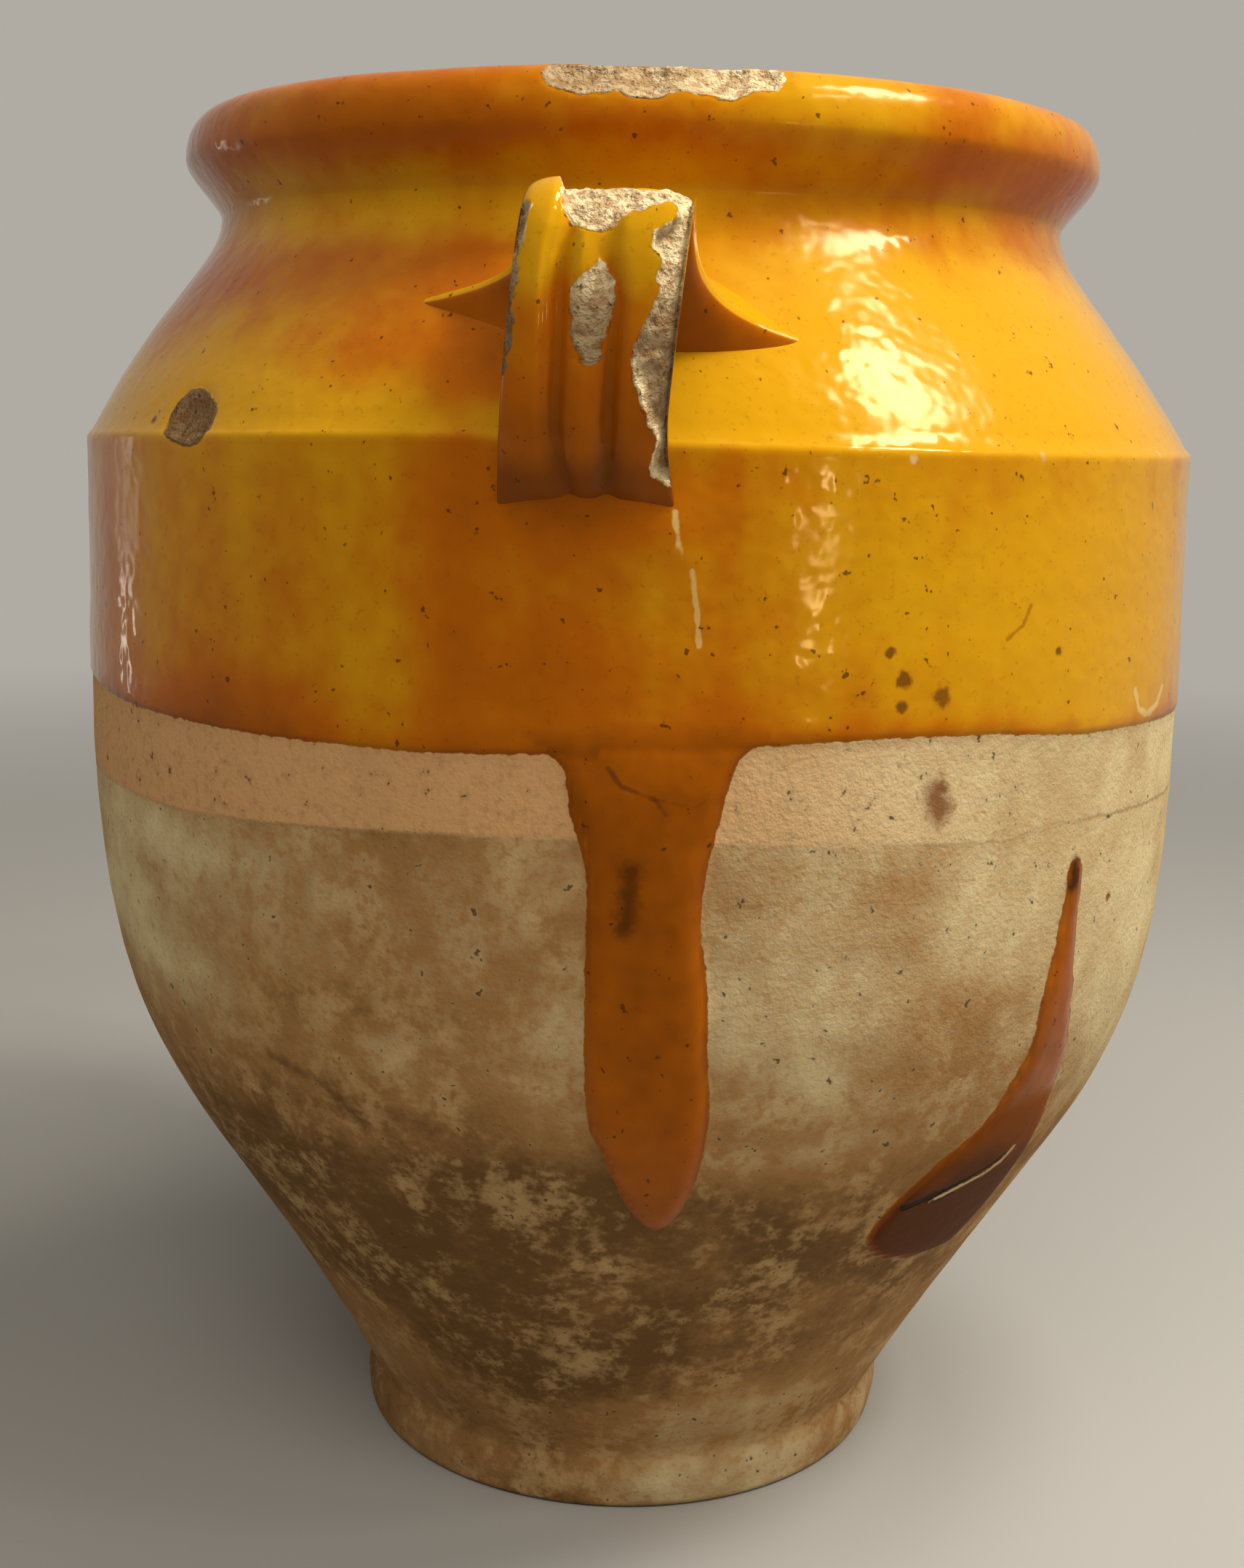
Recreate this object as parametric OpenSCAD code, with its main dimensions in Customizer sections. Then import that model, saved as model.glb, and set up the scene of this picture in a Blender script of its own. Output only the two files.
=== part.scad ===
// Two-handled earthenware preserving pot, thrown and fired in one piece.
// Millimetres. The origin is the centre of the underside, and +Z is up.
// The handles lie on the Y axis, and the worn one faces -Y.

/* [Body] */
// Overall height
pot_h = 300; // [285:1:330]
// Widest diameter of the belly
belly_d = 246.6; // [235:0.2:262]
// Height of the widest place below the shoulder corner
belly_drop = 61; // [50:1:75]
// Diameter at the shoulder corner
corner_d = 244.6; // [232:0.2:256]
// Radius that softens the shoulder corner
corner_round = 1.2; // [0.5:0.1:3]
// Thickness of the thrown wall
wall_t = 8; // [6.5:0.1:9.5]
// Thickness of the floor
floor_t = 12; // [9:0.5:16]
// Inner radius where the wall meets the floor
floor_fillet = 14; // [8:1:20]

/* [Foot] */
// Diameter of the foot ring
foot_d = 126.4; // [118:0.2:134]
// Height of the foot ring
foot_h = 12.5; // [9:0.5:16]
// Radius of the worn bottom edge of the foot
foot_round = 3; // [1.5:0.5:4]
// Depth of the turned groove over the foot ring
foot_groove = 1; // [0.5:0.1:2]
// Lean of the lower wall from upright where it leaves the foot
lower_lean = 27.5; // [22:0.5:32]

/* [Neck and lip] */
// Rise from the shoulder corner to the neck
shoulder_h = 47.5; // [42:0.5:54]
// Lean of the shoulder from upright where it leaves the corner
shoulder_lean = 29; // [24:0.5:34]
// Outer diameter of the neck
neck_d = 184.8; // [176:0.2:192]
// Height of the lip over the neck
lip_h = 20.5; // [17:0.5:25]
// Diameter of the lip
lip_d = 199.8; // [194:0.2:208]
// Height of the roll at the top of the lip
lip_roll = 9; // [7:0.5:11]
// Radial width of the lip's top
lip_w = 12; // [10:0.5:14]

/* [Glaze] */
// Thickness of the glaze coat
glaze_t = 0.5; // [0.3:0.1:0.9]
// Height of the glaze's lower edge over the underside
glaze_z = 180; // [172:1:188]
// How far the runs stand out from the bare wall
run_t = 1.2; // [0.8:0.1:1.8]
// Width of the long run under the worn handle
run_w = 21.5; // [14:0.5:26]
// Height of that run's tip over the underside
run_tip_z = 85; // [75:1:110]
// Height of the top of the run at the side over the underside
side_run_z = 156; // [148:1:162]
// Length of the run at the side
side_run_l = 91; // [70:1:96]
// Width of that run near its end
side_run_w = 40; // [26:1:46]
// Depth of the turned line below the glaze
line_depth = 0.5; // [0.3:0.1:0.8]
// Distance of the turned line below the glaze's edge
line_drop = 16; // [12:1:20]

/* [Handles] */
// Width of the strap
strap_w = 28; // [24:0.5:34]
// Thickness of the strap
strap_t = 9; // [8:0.5:11]
// How far the strap stands out from the shoulder corner
strap_reach = 16; // [12:0.5:20]
// Height of the top of the strap over the shoulder corner
strap_rise = 47; // [43:0.5:49]
// Height of the tips of the upper root over the corner
upper_root = 21; // [19:0.5:24]
// Width of the clay pressed out at the upper root
upper_root_w = 96; // [84:1:104]
// Height of the upper root over its tips
upper_root_top = 13.5; // [10:0.5:15]
// Depth of the upper root below its tips
upper_root_under = 3.5; // [2:0.5:5]
// How much higher one side of the upper root was smeared than the other
upper_root_tilt = 5; // [0:0.5:6]
// Depth of the sides of the lower root below the corner
lower_root = 16; // [13:0.5:18]
// Width of the lower root
lower_root_w = 34; // [30:1:42]
// Height of the lower root over and under its sides
lower_root_half = 7.5; // [5.5:0.5:9]
// Depth of the two grooves that part the ribs
groove_depth = 2.2; // [1:0.1:3]
// Distance of each groove from the middle of the ribs
groove_off = 4.3; // [3.5:0.1:5.5]
// How far the middle of the ribs lies beside the middle of the strap
rib_shift = 1; // [0:0.1:2]
// Sideways lean of the strap from its lower root to its top
strap_lean = 5; // [0:0.5:7]

/* [Breaks] */
// Depth of the bare break along the worn strap's edge
edge_break = 2.4; // [1:0.1:3]
// Depth that the ribs of the worn strap have lost at its top
top_wear = 1.7; // [0.5:0.1:2.2]
// Length of the broken stretch of the rim
rim_break_l = 33; // [20:1:45]
// Depth of the broken stretch below the top of the rim
rim_break_h = 6; // [4:0.5:7.5]
// Depth of the chip on the shoulder corner
corner_chip = 1.6; // [1:0.1:2.5]

/* [Hidden] */

glaze_amber = "#c27a1a";
bare_clay = "#b39a74";
broken_clay = "#b8ab96";

// Straight sides that a full turn is made of
round_steps = 180;

corner_r = corner_d / 2;
belly_r = belly_d / 2;
neck_r = neck_d / 2;
lip_r = lip_d / 2;
foot_r = foot_d / 2;
clay_h = pot_h - glaze_t;
neck_z = clay_h - lip_h;
corner_z = neck_z - shoulder_h;
belly_z = corner_z - belly_drop;

// Shares of a curve's own rise that its two handles take
lower_pull = 0.595;
belly_pull = 0.507;
shoulder_pull = 0.74;
neck_pull = 0.22;

function bez_at(p, t) = pow(1 - t, 3) * p[0] + 3 * t * pow(1 - t, 2) * p[1]
    + 3 * t * t * (1 - t) * p[2] + pow(t, 3) * p[3];
function bez(p, n) = [for (i = [0:n]) bez_at(p, i / n)];
function tail(list) = [for (i = [1:len(list) - 1]) list[i]];
function heights(list) = [for (p = list) [p[1], p[0]]];
function smooth(t) = let (u = min(1, max(0, t))) u * u * (3 - 2 * u);
function spow(x, e) = sign(x) * pow(abs(x), e);

// Lower wall, from over the foot ring to the widest place
function lower_wall() =
    let (r = foot_r - foot_groove, rise = belly_z - foot_h)
    bez([[r, foot_h],
        [r + rise * lower_pull * sin(lower_lean), foot_h + rise * lower_pull * cos(lower_lean)],
        [belly_r, belly_z - rise * belly_pull],
        [belly_r, belly_z]], 22);

// Upper wall, from the widest place to the start of the softened corner
function upper_wall() =
    let (end = corner_z - corner_round)
    bez([[belly_r, belly_z], [belly_r, belly_z + belly_drop / 3],
        [corner_r, end - belly_drop / 4], [corner_r, end]], 6);

// Shoulder, from the end of the softened corner to the neck
function shoulder_start() =
    [corner_r - corner_round * 2 * sin(shoulder_lean), corner_z + corner_round * cos(shoulder_lean)];
function shoulder() =
    let (s = shoulder_start(), rise = neck_z - s[1])
    bez([s, [s[0] - rise * shoulder_pull * sin(shoulder_lean), s[1] + rise * shoulder_pull * cos(shoulder_lean)],
        [neck_r, neck_z - rise * neck_pull], [neck_r, neck_z]], 14);

wall_outline = concat(lower_wall(), tail(upper_wall()), shoulder());
wall_table = heights(wall_outline);
wall_top = [for (p = wall_outline) if (p[1] > belly_z) p];

// Outer radius of the clay wall at a height, and the wall's slope there
slope_step = 4;
function wall_r(z) = lookup(z, wall_table);
function wall_slope(z) = (wall_r(z + slope_step) - wall_r(z - slope_step)) / (2 * slope_step);
function inner_r(z) = wall_r(z) - wall_t * sqrt(1 + pow(wall_slope(z), 2));
function middle_r(z) = (wall_r(z) + inner_r(z)) / 2;

// Lip, from the neck out to its widest place, over its roll and back to the mouth
function lip() =
    let (roll_z = clay_h - lip_roll, mouth_r = lip_r - lip_w)
    concat(
        bez([[neck_r, neck_z], [neck_r, neck_z + lip_h / 9],
            [lip_r, roll_z - lip_h / 7], [lip_r, roll_z]], 7),
        tail(bez([[lip_r, roll_z], [lip_r, roll_z + lip_roll * 0.6],
            [lip_r - lip_w * 0.2, clay_h], [lip_r - lip_w * 0.5, clay_h]], 6)),
        tail(bez([[lip_r - lip_w * 0.5, clay_h], [lip_r - lip_w * 0.8, clay_h],
            [mouth_r, clay_h - lip_roll * 0.25], [mouth_r, clay_h - lip_roll * 0.7]], 5)));

// Foot ring, from the flat underside up to the groove
function foot() =
    concat(
        bez([[foot_r - foot_round, 0], [foot_r - foot_round * 0.3, 0],
            [foot_r - foot_round * 0.3, foot_round * 0.5], [foot_r - foot_round * 0.2, foot_round]], 4),
        [[foot_r, foot_h * 0.6], [foot_r - foot_groove * 0.3, foot_h - 2 * foot_groove]]);

// Inside, from the mouth down the wall to the middle of the floor
inner_step = 8;
function inside() =
    let (top = neck_z, low = floor_t + floor_fillet,
        n = ceil((top - low) / inner_step))
    concat(
        [for (i = [0:n]) let (z = top - (top - low) * i / n) [inner_r(z), z]],
        tail(bez([[inner_r(low), low], [inner_r(low) - floor_fillet * 0.35, floor_t + floor_fillet * 0.3],
            [inner_r(low) - floor_fillet * 0.6, floor_t], [inner_r(low) - floor_fillet * 1.2, floor_t]], 5)),
        [[0, floor_t]]);

// Bare clay: one turned wall with foot, lip and inside
module thrown_body() {
    color(bare_clay)
    difference() {
        rotate_extrude($fn = round_steps)
            polygon(concat([[0, 0]], foot(), wall_outline, tail(lip()), inside()));
        turned_line();
    }
}

// Faint line that was turned round the belly below the glaze
line_half_w = 1.5;
module turned_line() {
    z = glaze_z - line_drop;
    out = wall_r(z) + 1;
    translate([0, 0, z])
        rotate_extrude($fn = round_steps)
            polygon([[wall_r(z) - line_depth, 0], [out, -line_half_w], [out, line_half_w]]);
}

// Glaze over the upper wall and the lip, rooted in the clay so that the two are one
glaze_bite = 1;
module glaze_coat() {
    outer = concat([[wall_r(glaze_z), glaze_z]], [for (p = wall_top) if (p[1] > glaze_z + 1) p], tail(lip()));
    n = len(outer) - 1;
    color(glaze_amber)
        rotate_extrude($fn = round_steps)
            polygon(concat(
                [for (i = [0:n]) outer[i] + glaze_t * (i == 0 ? [0, 0] : outline_normal(outer, i))],
                [for (i = [n:-1:0]) outer[i] - glaze_bite * outline_normal(outer, i)]));
}
function outline_normal(list, i) =
    let (a = list[max(0, i - 1)], b = list[min(len(list) - 1, i + 1)], d = b - a)
    [d[1], -d[0]] / norm(d);

// A run of glaze: the belly's own surface, raised, where an outline seen from the side covers it
run_margin = 10;
module run(turn) {
    low = min(run_tip_z, side_run_z - side_run_l) - run_margin;
    table = [for (p = wall_outline) if (p[1] > low && p[1] < glaze_z + run_margin) p];
    n = len(table) - 1;
    color(glaze_amber)
    intersection() {
        rotate_extrude($fn = round_steps)
            polygon(concat([for (p = table) p + [run_t, 0]], [for (i = [n:-1:0]) table[i] - [glaze_bite, 0]]));
        rotate([0, 0, turn]) rotate([90, 0, 0])
            linear_extrude(height = belly_r + run_margin)
                children();
    }
}

// Long run: wide where it leaves the glaze, even in the middle, with a tip that leans to one side
long_run_turn = 5;
module long_run() {
    w = run_w / 2;
    top = glaze_z + 4;
    tip = run_tip_z;
    run(long_run_turn)
        polygon([[-1.5 * w, top], [-1.4 * w, glaze_z - 8], [-1.08 * w, glaze_z - 16], [-1.04 * w, tip + 28],
            [-0.75 * w, tip + 18], [-0.3 * w, tip + 6], [0.05 * w, tip + 0.8], [0.25 * w, tip], [0.45 * w, tip + 0.8],
            [0.7 * w, tip + 4], [0.93 * w, tip + 14], [1.03 * w, tip + 28], [0.86 * w, glaze_z - 31],
            [0.94 * w, glaze_z - 20], [1.1 * w, glaze_z - 12], [1.4 * w, top]]);
}

// Run at the side: a thin bead that broadens into a tongue on the conical wall
side_run_turn = 47;
side_run_shape = [[0.04, 0], [-0.02, -0.05], [-0.05, -0.15], [-0.11, -0.31], [-0.11, -0.42], [-0.19, -0.51],
    [-0.28, -0.6], [-0.49, -0.69], [-0.6, -0.78], [-0.62, -0.89], [-0.4, -0.97], [0, -1], [0.2, -0.98],
    [0.32, -0.91], [0.36, -0.8], [0.34, -0.68], [0.28, -0.56], [0.25, -0.45], [0.17, -0.33], [0.11, -0.16],
    [0.11, -0.05]];
module side_run() {
    run(side_run_turn)
        polygon([for (p = side_run_shape) [p[0] * side_run_w, side_run_z + p[1] * side_run_l]]);
}

// Middle line of a strap in the plane of distance from the axis and height
strap_out_r = corner_r + strap_reach - strap_t / 2;
strap_out_z = corner_z + strap_rise * 0.6;
strap_top_z = corner_z + strap_rise - strap_t / 2;
function upper_arm() =
    let (z = corner_z + upper_root + (upper_root_top - upper_root_under) / 2,
        start = [wall_r(z) - wall_t / 2, z],
        over = strap_top_z + (strap_top_z - strap_out_z) * 0.72)
    [start, [start[0] + strap_reach * 0.85, z + (strap_top_z - z) * 0.78],
        [strap_out_r, over], [strap_out_r, strap_out_z]];
function lower_arm() =
    let (z = corner_z - lower_root, end = [wall_r(z) - wall_t / 2, z])
    [[strap_out_r, strap_out_z], [strap_out_r, strap_out_z - strap_rise * 0.4],
        [end[0] + strap_reach * 0.5, z + strap_rise * 0.42], end];
arm_rings = [14, 12];
strap_line = concat(bez(upper_arm(), arm_rings[0]), tail(bez(lower_arm(), arm_rings[1])));
last_ring = len(strap_line) - 1;

// Outward normal of the middle line at a ring
function strap_normal(i) =
    let (a = strap_line[max(0, i - 1)], b = strap_line[min(last_ring, i + 1)], d = b - a)
    [-d[1], d[0]] / norm(d);

// How far ring i has turned into the root on the wall: 0 on the free strap, 1 in the wall
function upper_hold(i) = pow(smooth(1 - i / (arm_rings[0] * 0.72)), 1.35);
function lower_hold(i) = pow(smooth(1 - (last_ring - i) / (arm_rings[1] * 0.62)), 1.6);

// One point of the ring: the strap's section, its ribs and its wear, drawn towards the root
ring_points = 40;
groove_w = 1.5;
function rib_cut(x, free) = groove_depth * free
    * (exp(-pow((x + rib_shift - groove_off) / groove_w, 2)) + exp(-pow((x + rib_shift + groove_off) / groove_w, 2)));

// Wear of the handle that faces -Y: its edge has split off, and its ribs are rubbed flat at the top
edge_start = [0.26, 0.4];
edge_slope_w = 2.5;
worn_ring = 9;
worn_rings = 4;
function wear(x, i, worn) = !worn ? 0 :
    let (from = strap_w * (edge_start[0] + (edge_start[1] - edge_start[0]) * i / last_ring))
    edge_break * smooth((x - from) / edge_slope_w) * smooth(2 - 2 * abs(i - arm_rings[1]) / arm_rings[1])
    + top_wear * smooth(1 - abs(i - worn_ring) / worn_rings);
function section_point(i, angle, worn) =
    let (x = strap_w / 2 * spow(cos(angle), 0.5), free = 1 - max(upper_hold(i), lower_hold(i)),
        h = strap_t / 2 * spow(sin(angle), 0.6),
        outer = sin(angle) > 0 ? (rib_cut(x, free) + wear(x, i, worn)) * smooth(3 * sin(angle)) : 0,
        at = strap_line[i] + (h - outer) * strap_normal(i),
        lean = strap_lean * ((at[1] - corner_z) / strap_rise - 0.45))
    [x + lean, -at[0], at[1]];

// One point of a root's outline, which lies in the middle of the wall: flat below and arched above
function root_point(angle, w, top, under, z) =
    let (x = w / 2 * cos(angle), at = z + (sin(angle) > 0 ? top : under) * spow(sin(angle), 1.2))
    [x, -sqrt(pow(middle_r(at), 2) - x * x), at];
function upper_point(angle) =
    root_point(angle, upper_root_w, upper_root_top, upper_root_under,
        corner_z + upper_root + upper_root_tilt * smooth(-cos(angle)));
function lower_point(angle) =
    root_point(angle, lower_root_w, lower_root_half, lower_root_half, corner_z - lower_root);

// The clay beside the strap spreads late and fast where the strap meets the shoulder, as it was smeared on.
// It follows the round wall: points move by their turn from -Y, their distance from the axis and their height.
flare_curve = 2.8;
function to_turn(p) = [atan2(p[0], -p[1]), norm([p[0], p[1]]), p[2]];
function from_turn(q) = [q[1] * sin(q[0]), -q[1] * cos(q[0]), q[2]];
function towards(s, root, hold, curve) =
    let (start = to_turn(s), d = to_turn(root) - start)
    from_turn(start + [pow(hold, curve) * d[0], hold * d[1], hold * d[2]]);
function strap_point(i, angle, worn) =
    let (s = section_point(i, angle, worn), up = upper_hold(i), low = lower_hold(i))
    up > 0 ? towards(s, upper_point(angle), up, flare_curve)
    : low > 0 ? towards(s, lower_point(angle), low, 1)
    : s;

// Ribbed strap, lofted from the root in the shoulder to the root below the corner
module strap(worn) {
    m = ring_points;
    rings = [for (i = [0:last_ring]) for (j = [0:m - 1]) strap_point(i, 360 * j / m, worn)];
    ends = [root_point(90, 0, upper_root_top / 3, 0, corner_z + upper_root),
        root_point(0, 0, 0, 0, corner_z - lower_root)];
    count = len(rings);
    sides = [for (i = [0:last_ring - 1]) for (j = [0:m - 1])
        let (a = i * m + j, b = i * m + (j + 1) % m)
        each [[a, b + m, b], [a, a + m, b + m]]];
    caps = concat(
        [for (j = [0:m - 1]) [count, j, (j + 1) % m]],
        [for (j = [0:m - 1]) [count + 1, last_ring * m + (j + 1) % m, last_ring * m + j]]);
    color(glaze_amber)
        polyhedron(points = concat(rings, ends), faces = concat(sides, caps), convexity = 6);
}

// Broken rim: shell-shaped scars that overlap along the outer edge of the lip.
// Each has its place along the break, the radius of its shell and how much shallower it is.
rim_break_turn = 4.7;
rim_scars = [[-0.46, 9, 1.6], [-0.31, 16, 0.3], [-0.08, 12, 0], [0.1, 18, 0.7], [0.36, 11, 0.1], [0.55, 8, 1.9]];
module rim_break() {
    out = lip_w * 0.62;
    chord = norm([out, rim_break_h]);
    mid = [lip_r + glaze_t - out / 2, pot_h - rim_break_h / 2];
    span = rim_break_l / lip_r * 180 / PI;
    color(broken_clay)
        for (scar = rim_scars) {
            sag = scar[1] - sqrt(scar[1] * scar[1] - chord * chord / 4);
            centre = mid + (scar[1] - sag * 1.5 + scar[2]) * [rim_break_h, out] / chord;
            rotate([0, 0, rim_break_turn + span * scar[0]])
                translate([0, -centre[0], centre[1]])
                    sphere(r = scar[1], $fn = 48);
        }
}

// Chip on the shoulder corner, left of the worn handle
corner_chip_turn = -40.5;
corner_chip_r = 22;
module corner_scar() {
    z = corner_z + 5;
    color(broken_clay)
        rotate([0, 0, corner_chip_turn])
            translate([0, -(wall_r(z) + (corner_chip_r - corner_chip) * cos(shoulder_lean)),
                z + (corner_chip_r - corner_chip) * sin(shoulder_lean)])
                sphere(r = corner_chip_r, $fn = 60);
}

module pot() {
    difference() {
        union() {
            thrown_body();
            glaze_coat();
            long_run();
            side_run();
            strap(worn = true);
            rotate([0, 0, 180]) strap(worn = false);
        }
        rim_break();
        corner_scar();
    }
}

pot();
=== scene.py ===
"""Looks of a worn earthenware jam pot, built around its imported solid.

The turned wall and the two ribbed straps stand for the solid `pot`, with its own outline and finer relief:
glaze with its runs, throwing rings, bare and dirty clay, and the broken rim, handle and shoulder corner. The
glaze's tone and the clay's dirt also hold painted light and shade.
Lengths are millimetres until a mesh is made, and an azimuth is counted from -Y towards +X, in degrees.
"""

import logging
import math
from dataclasses import dataclass, field
from enum import Enum

import bpy
import numpy as np
from mathutils import Matrix, Vector

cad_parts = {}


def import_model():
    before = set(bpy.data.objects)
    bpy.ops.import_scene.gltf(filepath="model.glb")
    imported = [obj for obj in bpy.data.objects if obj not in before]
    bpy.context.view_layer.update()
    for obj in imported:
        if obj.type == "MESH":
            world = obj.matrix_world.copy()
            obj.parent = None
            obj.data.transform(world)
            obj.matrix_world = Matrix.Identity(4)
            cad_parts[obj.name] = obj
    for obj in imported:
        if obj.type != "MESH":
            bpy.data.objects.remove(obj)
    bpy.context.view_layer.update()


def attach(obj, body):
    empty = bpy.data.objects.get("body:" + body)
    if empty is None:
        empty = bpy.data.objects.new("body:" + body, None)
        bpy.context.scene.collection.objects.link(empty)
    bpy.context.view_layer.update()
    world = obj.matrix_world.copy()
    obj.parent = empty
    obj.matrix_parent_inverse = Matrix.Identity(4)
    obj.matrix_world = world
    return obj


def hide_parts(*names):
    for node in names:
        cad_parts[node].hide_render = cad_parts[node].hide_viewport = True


LOG = logging.getLogger("jam_pot")
MM = 0.001
FAR = 20.0
NODE = "pot"
BODY = "root"

Array = np.ndarray
Colour = tuple[float, float, float, float]
Socket = bpy.types.NodeSocket
Places = tuple[tuple[float, float], ...]
Inputs = dict[str | int, object]


def srgb(red: int, green: int, blue: int) -> Colour:
    """Turns a colour in screen values into the linear colour that a shader reads.

    Args:
        red: Red, 0 to 255.
        green: Green, 0 to 255.
        blue: Blue, 0 to 255.

    Returns:
        The linear colour with full alpha.
    """
    linear = [((v / 255 + 0.055) / 1.055) ** 2.4 if v > 10 else v / 255 / 12.92 for v in (red, green, blue)]
    return (linear[0], linear[1], linear[2], 1.0)


def smooth(value: Array | float) -> Array:
    """Eases a value from 0 at 0 to 1 at 1."""
    t = np.clip(value, 0, 1)
    return t * t * (3 - 2 * t)


def fade(value: Array, start: float, end: float) -> Array:
    """Eases from 0 where a value is at the start to 1 where it is at the end, which may be the lower one."""
    return smooth((value - start) / (end - start))


def signed_power(value: Array, power: float) -> Array:
    """Raises a value's size to a power and keeps its sign."""
    return np.sign(value) * np.abs(value) ** power


def hump(distance: Array, width: float) -> Array:
    """A bell of height 1 that has sunk to a third at one width from its middle."""
    return np.exp(-((distance / width) ** 2))


def bezier(points: list[list[float]], steps: int) -> Array:
    """Points along a cubic curve.

    Args:
        points: The curve's four control points.
        steps: Number of steps from its first point to its last.

    Returns:
        An array of steps + 1 points.
    """
    p = np.asarray(points, float)
    t = np.linspace(0, 1, steps + 1)[:, None]
    return (1 - t) ** 3 * p[0] + 3 * t * (1 - t) ** 2 * p[1] + 3 * t * t * (1 - t) * p[2] + t**3 * p[3]


def rounded(corners: Places, steps: int = 6) -> Array:
    """A closed smooth outline through a few corners, as a Catmull-Rom curve.

    Args:
        corners: The outline's corners in order.
        steps: Steps between one corner and the next.

    Returns:
        The outline's points.
    """
    p = np.asarray(corners, float)
    before, after, beyond = np.roll(p, 1, 0), np.roll(p, -1, 0), np.roll(p, -2, 0)
    found = []
    for t in np.linspace(0, 1, steps, endpoint=False):
        found.append(
            0.5
            * (
                2 * p
                + (after - before) * t
                + (2 * before - 5 * p + 4 * after - beyond) * t**2
                + (3 * p - before - 3 * after + beyond) * t**3
            )
        )
    return np.stack(found, 1).reshape(-1, 2)


def distance_inside(points: Array, outline: Array) -> Array:
    """How far each point lies inside a closed outline.

    Args:
        points: Points in the outline's plane.
        outline: The outline's corners in order.

    Returns:
        The distance to the outline, positive inside it and negative outside.
    """
    nearest = np.full(len(points), np.inf)
    inside = np.zeros(len(points), bool)
    for a, b in zip(outline, np.roll(outline, -1, 0)):
        edge, reach = b - a, points - a
        share = np.clip(reach @ edge / max(edge @ edge, 1e-12), 0, 1)
        nearest = np.minimum(nearest, np.linalg.norm(reach - share[:, None] * edge, axis=1))
        if a[1] != b[1]:
            level = (a[1] > points[:, 1]) != (b[1] > points[:, 1])
            inside ^= level & (points[:, 0] < edge[0] * (points[:, 1] - a[1]) / edge[1] + a[0])
    return np.where(inside, nearest, -nearest)


def put_in_scene(name: str, data: bpy.types.ID) -> bpy.types.Object:
    """Makes an object of some data and puts it in the scene."""
    made = bpy.data.objects.new(name, data)
    bpy.context.scene.collection.objects.link(made)
    return made


class Grit:
    """Seeded noise in space, for surfaces that broke or were never smooth."""

    def __init__(self, seed: int) -> None:
        """Draws the lattice that every reading comes from."""
        self.values = np.random.default_rng(seed).random((32, 32, 32))

    def layer(self, points: Array, size: float) -> Array:
        """One layer of soft noise from -1 to 1.

        Args:
            points: Places in millimetres.
            size: Distance between one lump and the next, in millimetres.

        Returns:
            One value for each place.
        """
        at = np.asarray(points, float) / size
        low = np.floor(at).astype(int)
        t = smooth(at - low)
        total = np.zeros(len(at))
        for corner in np.ndindex(2, 2, 2):
            share = np.prod(np.where(corner, t, 1 - t), axis=1)
            i = (low + corner) % 32
            total += share * self.values[i[:, 0], i[:, 1], i[:, 2]]
        return total * 2 - 1

    def rough(self, points: Array, size: float, layers: int = 3) -> Array:
        """Several layers of noise, each half the size and half the height of the last."""
        return sum(self.layer(points + 17.3 * k, size / 2**k) / 2**k for k in range(layers))


@dataclass(frozen=True)
class PotSizes:
    """Driving sizes of the thrown pot, as in the part's source."""

    height: float = 300.0
    belly_d: float = 246.6
    belly_drop: float = 61.0
    corner_d: float = 244.6
    corner_round: float = 1.2
    wall_t: float = 8.0
    floor_t: float = 12.0
    floor_fillet: float = 14.0
    foot_d: float = 126.4
    foot_h: float = 12.5
    foot_round: float = 3.0
    foot_groove: float = 1.0
    lower_lean: float = 27.5
    shoulder_h: float = 47.5
    shoulder_lean: float = 29.0
    neck_d: float = 184.8
    lip_h: float = 20.5
    lip_d: float = 199.8
    lip_roll: float = 9.0
    lip_w: float = 12.0
    glaze_t: float = 0.5

    @property
    def clay_h(self) -> float:
        """Height of the clay under the glaze on the rim."""
        return self.height - self.glaze_t

    @property
    def neck_z(self) -> float:
        """Height of the neck's narrowest place."""
        return self.clay_h - self.lip_h

    @property
    def corner_z(self) -> float:
        """Height of the shoulder corner."""
        return self.neck_z - self.shoulder_h

    @property
    def belly_z(self) -> float:
        """Height of the widest place."""
        return self.corner_z - self.belly_drop


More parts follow.
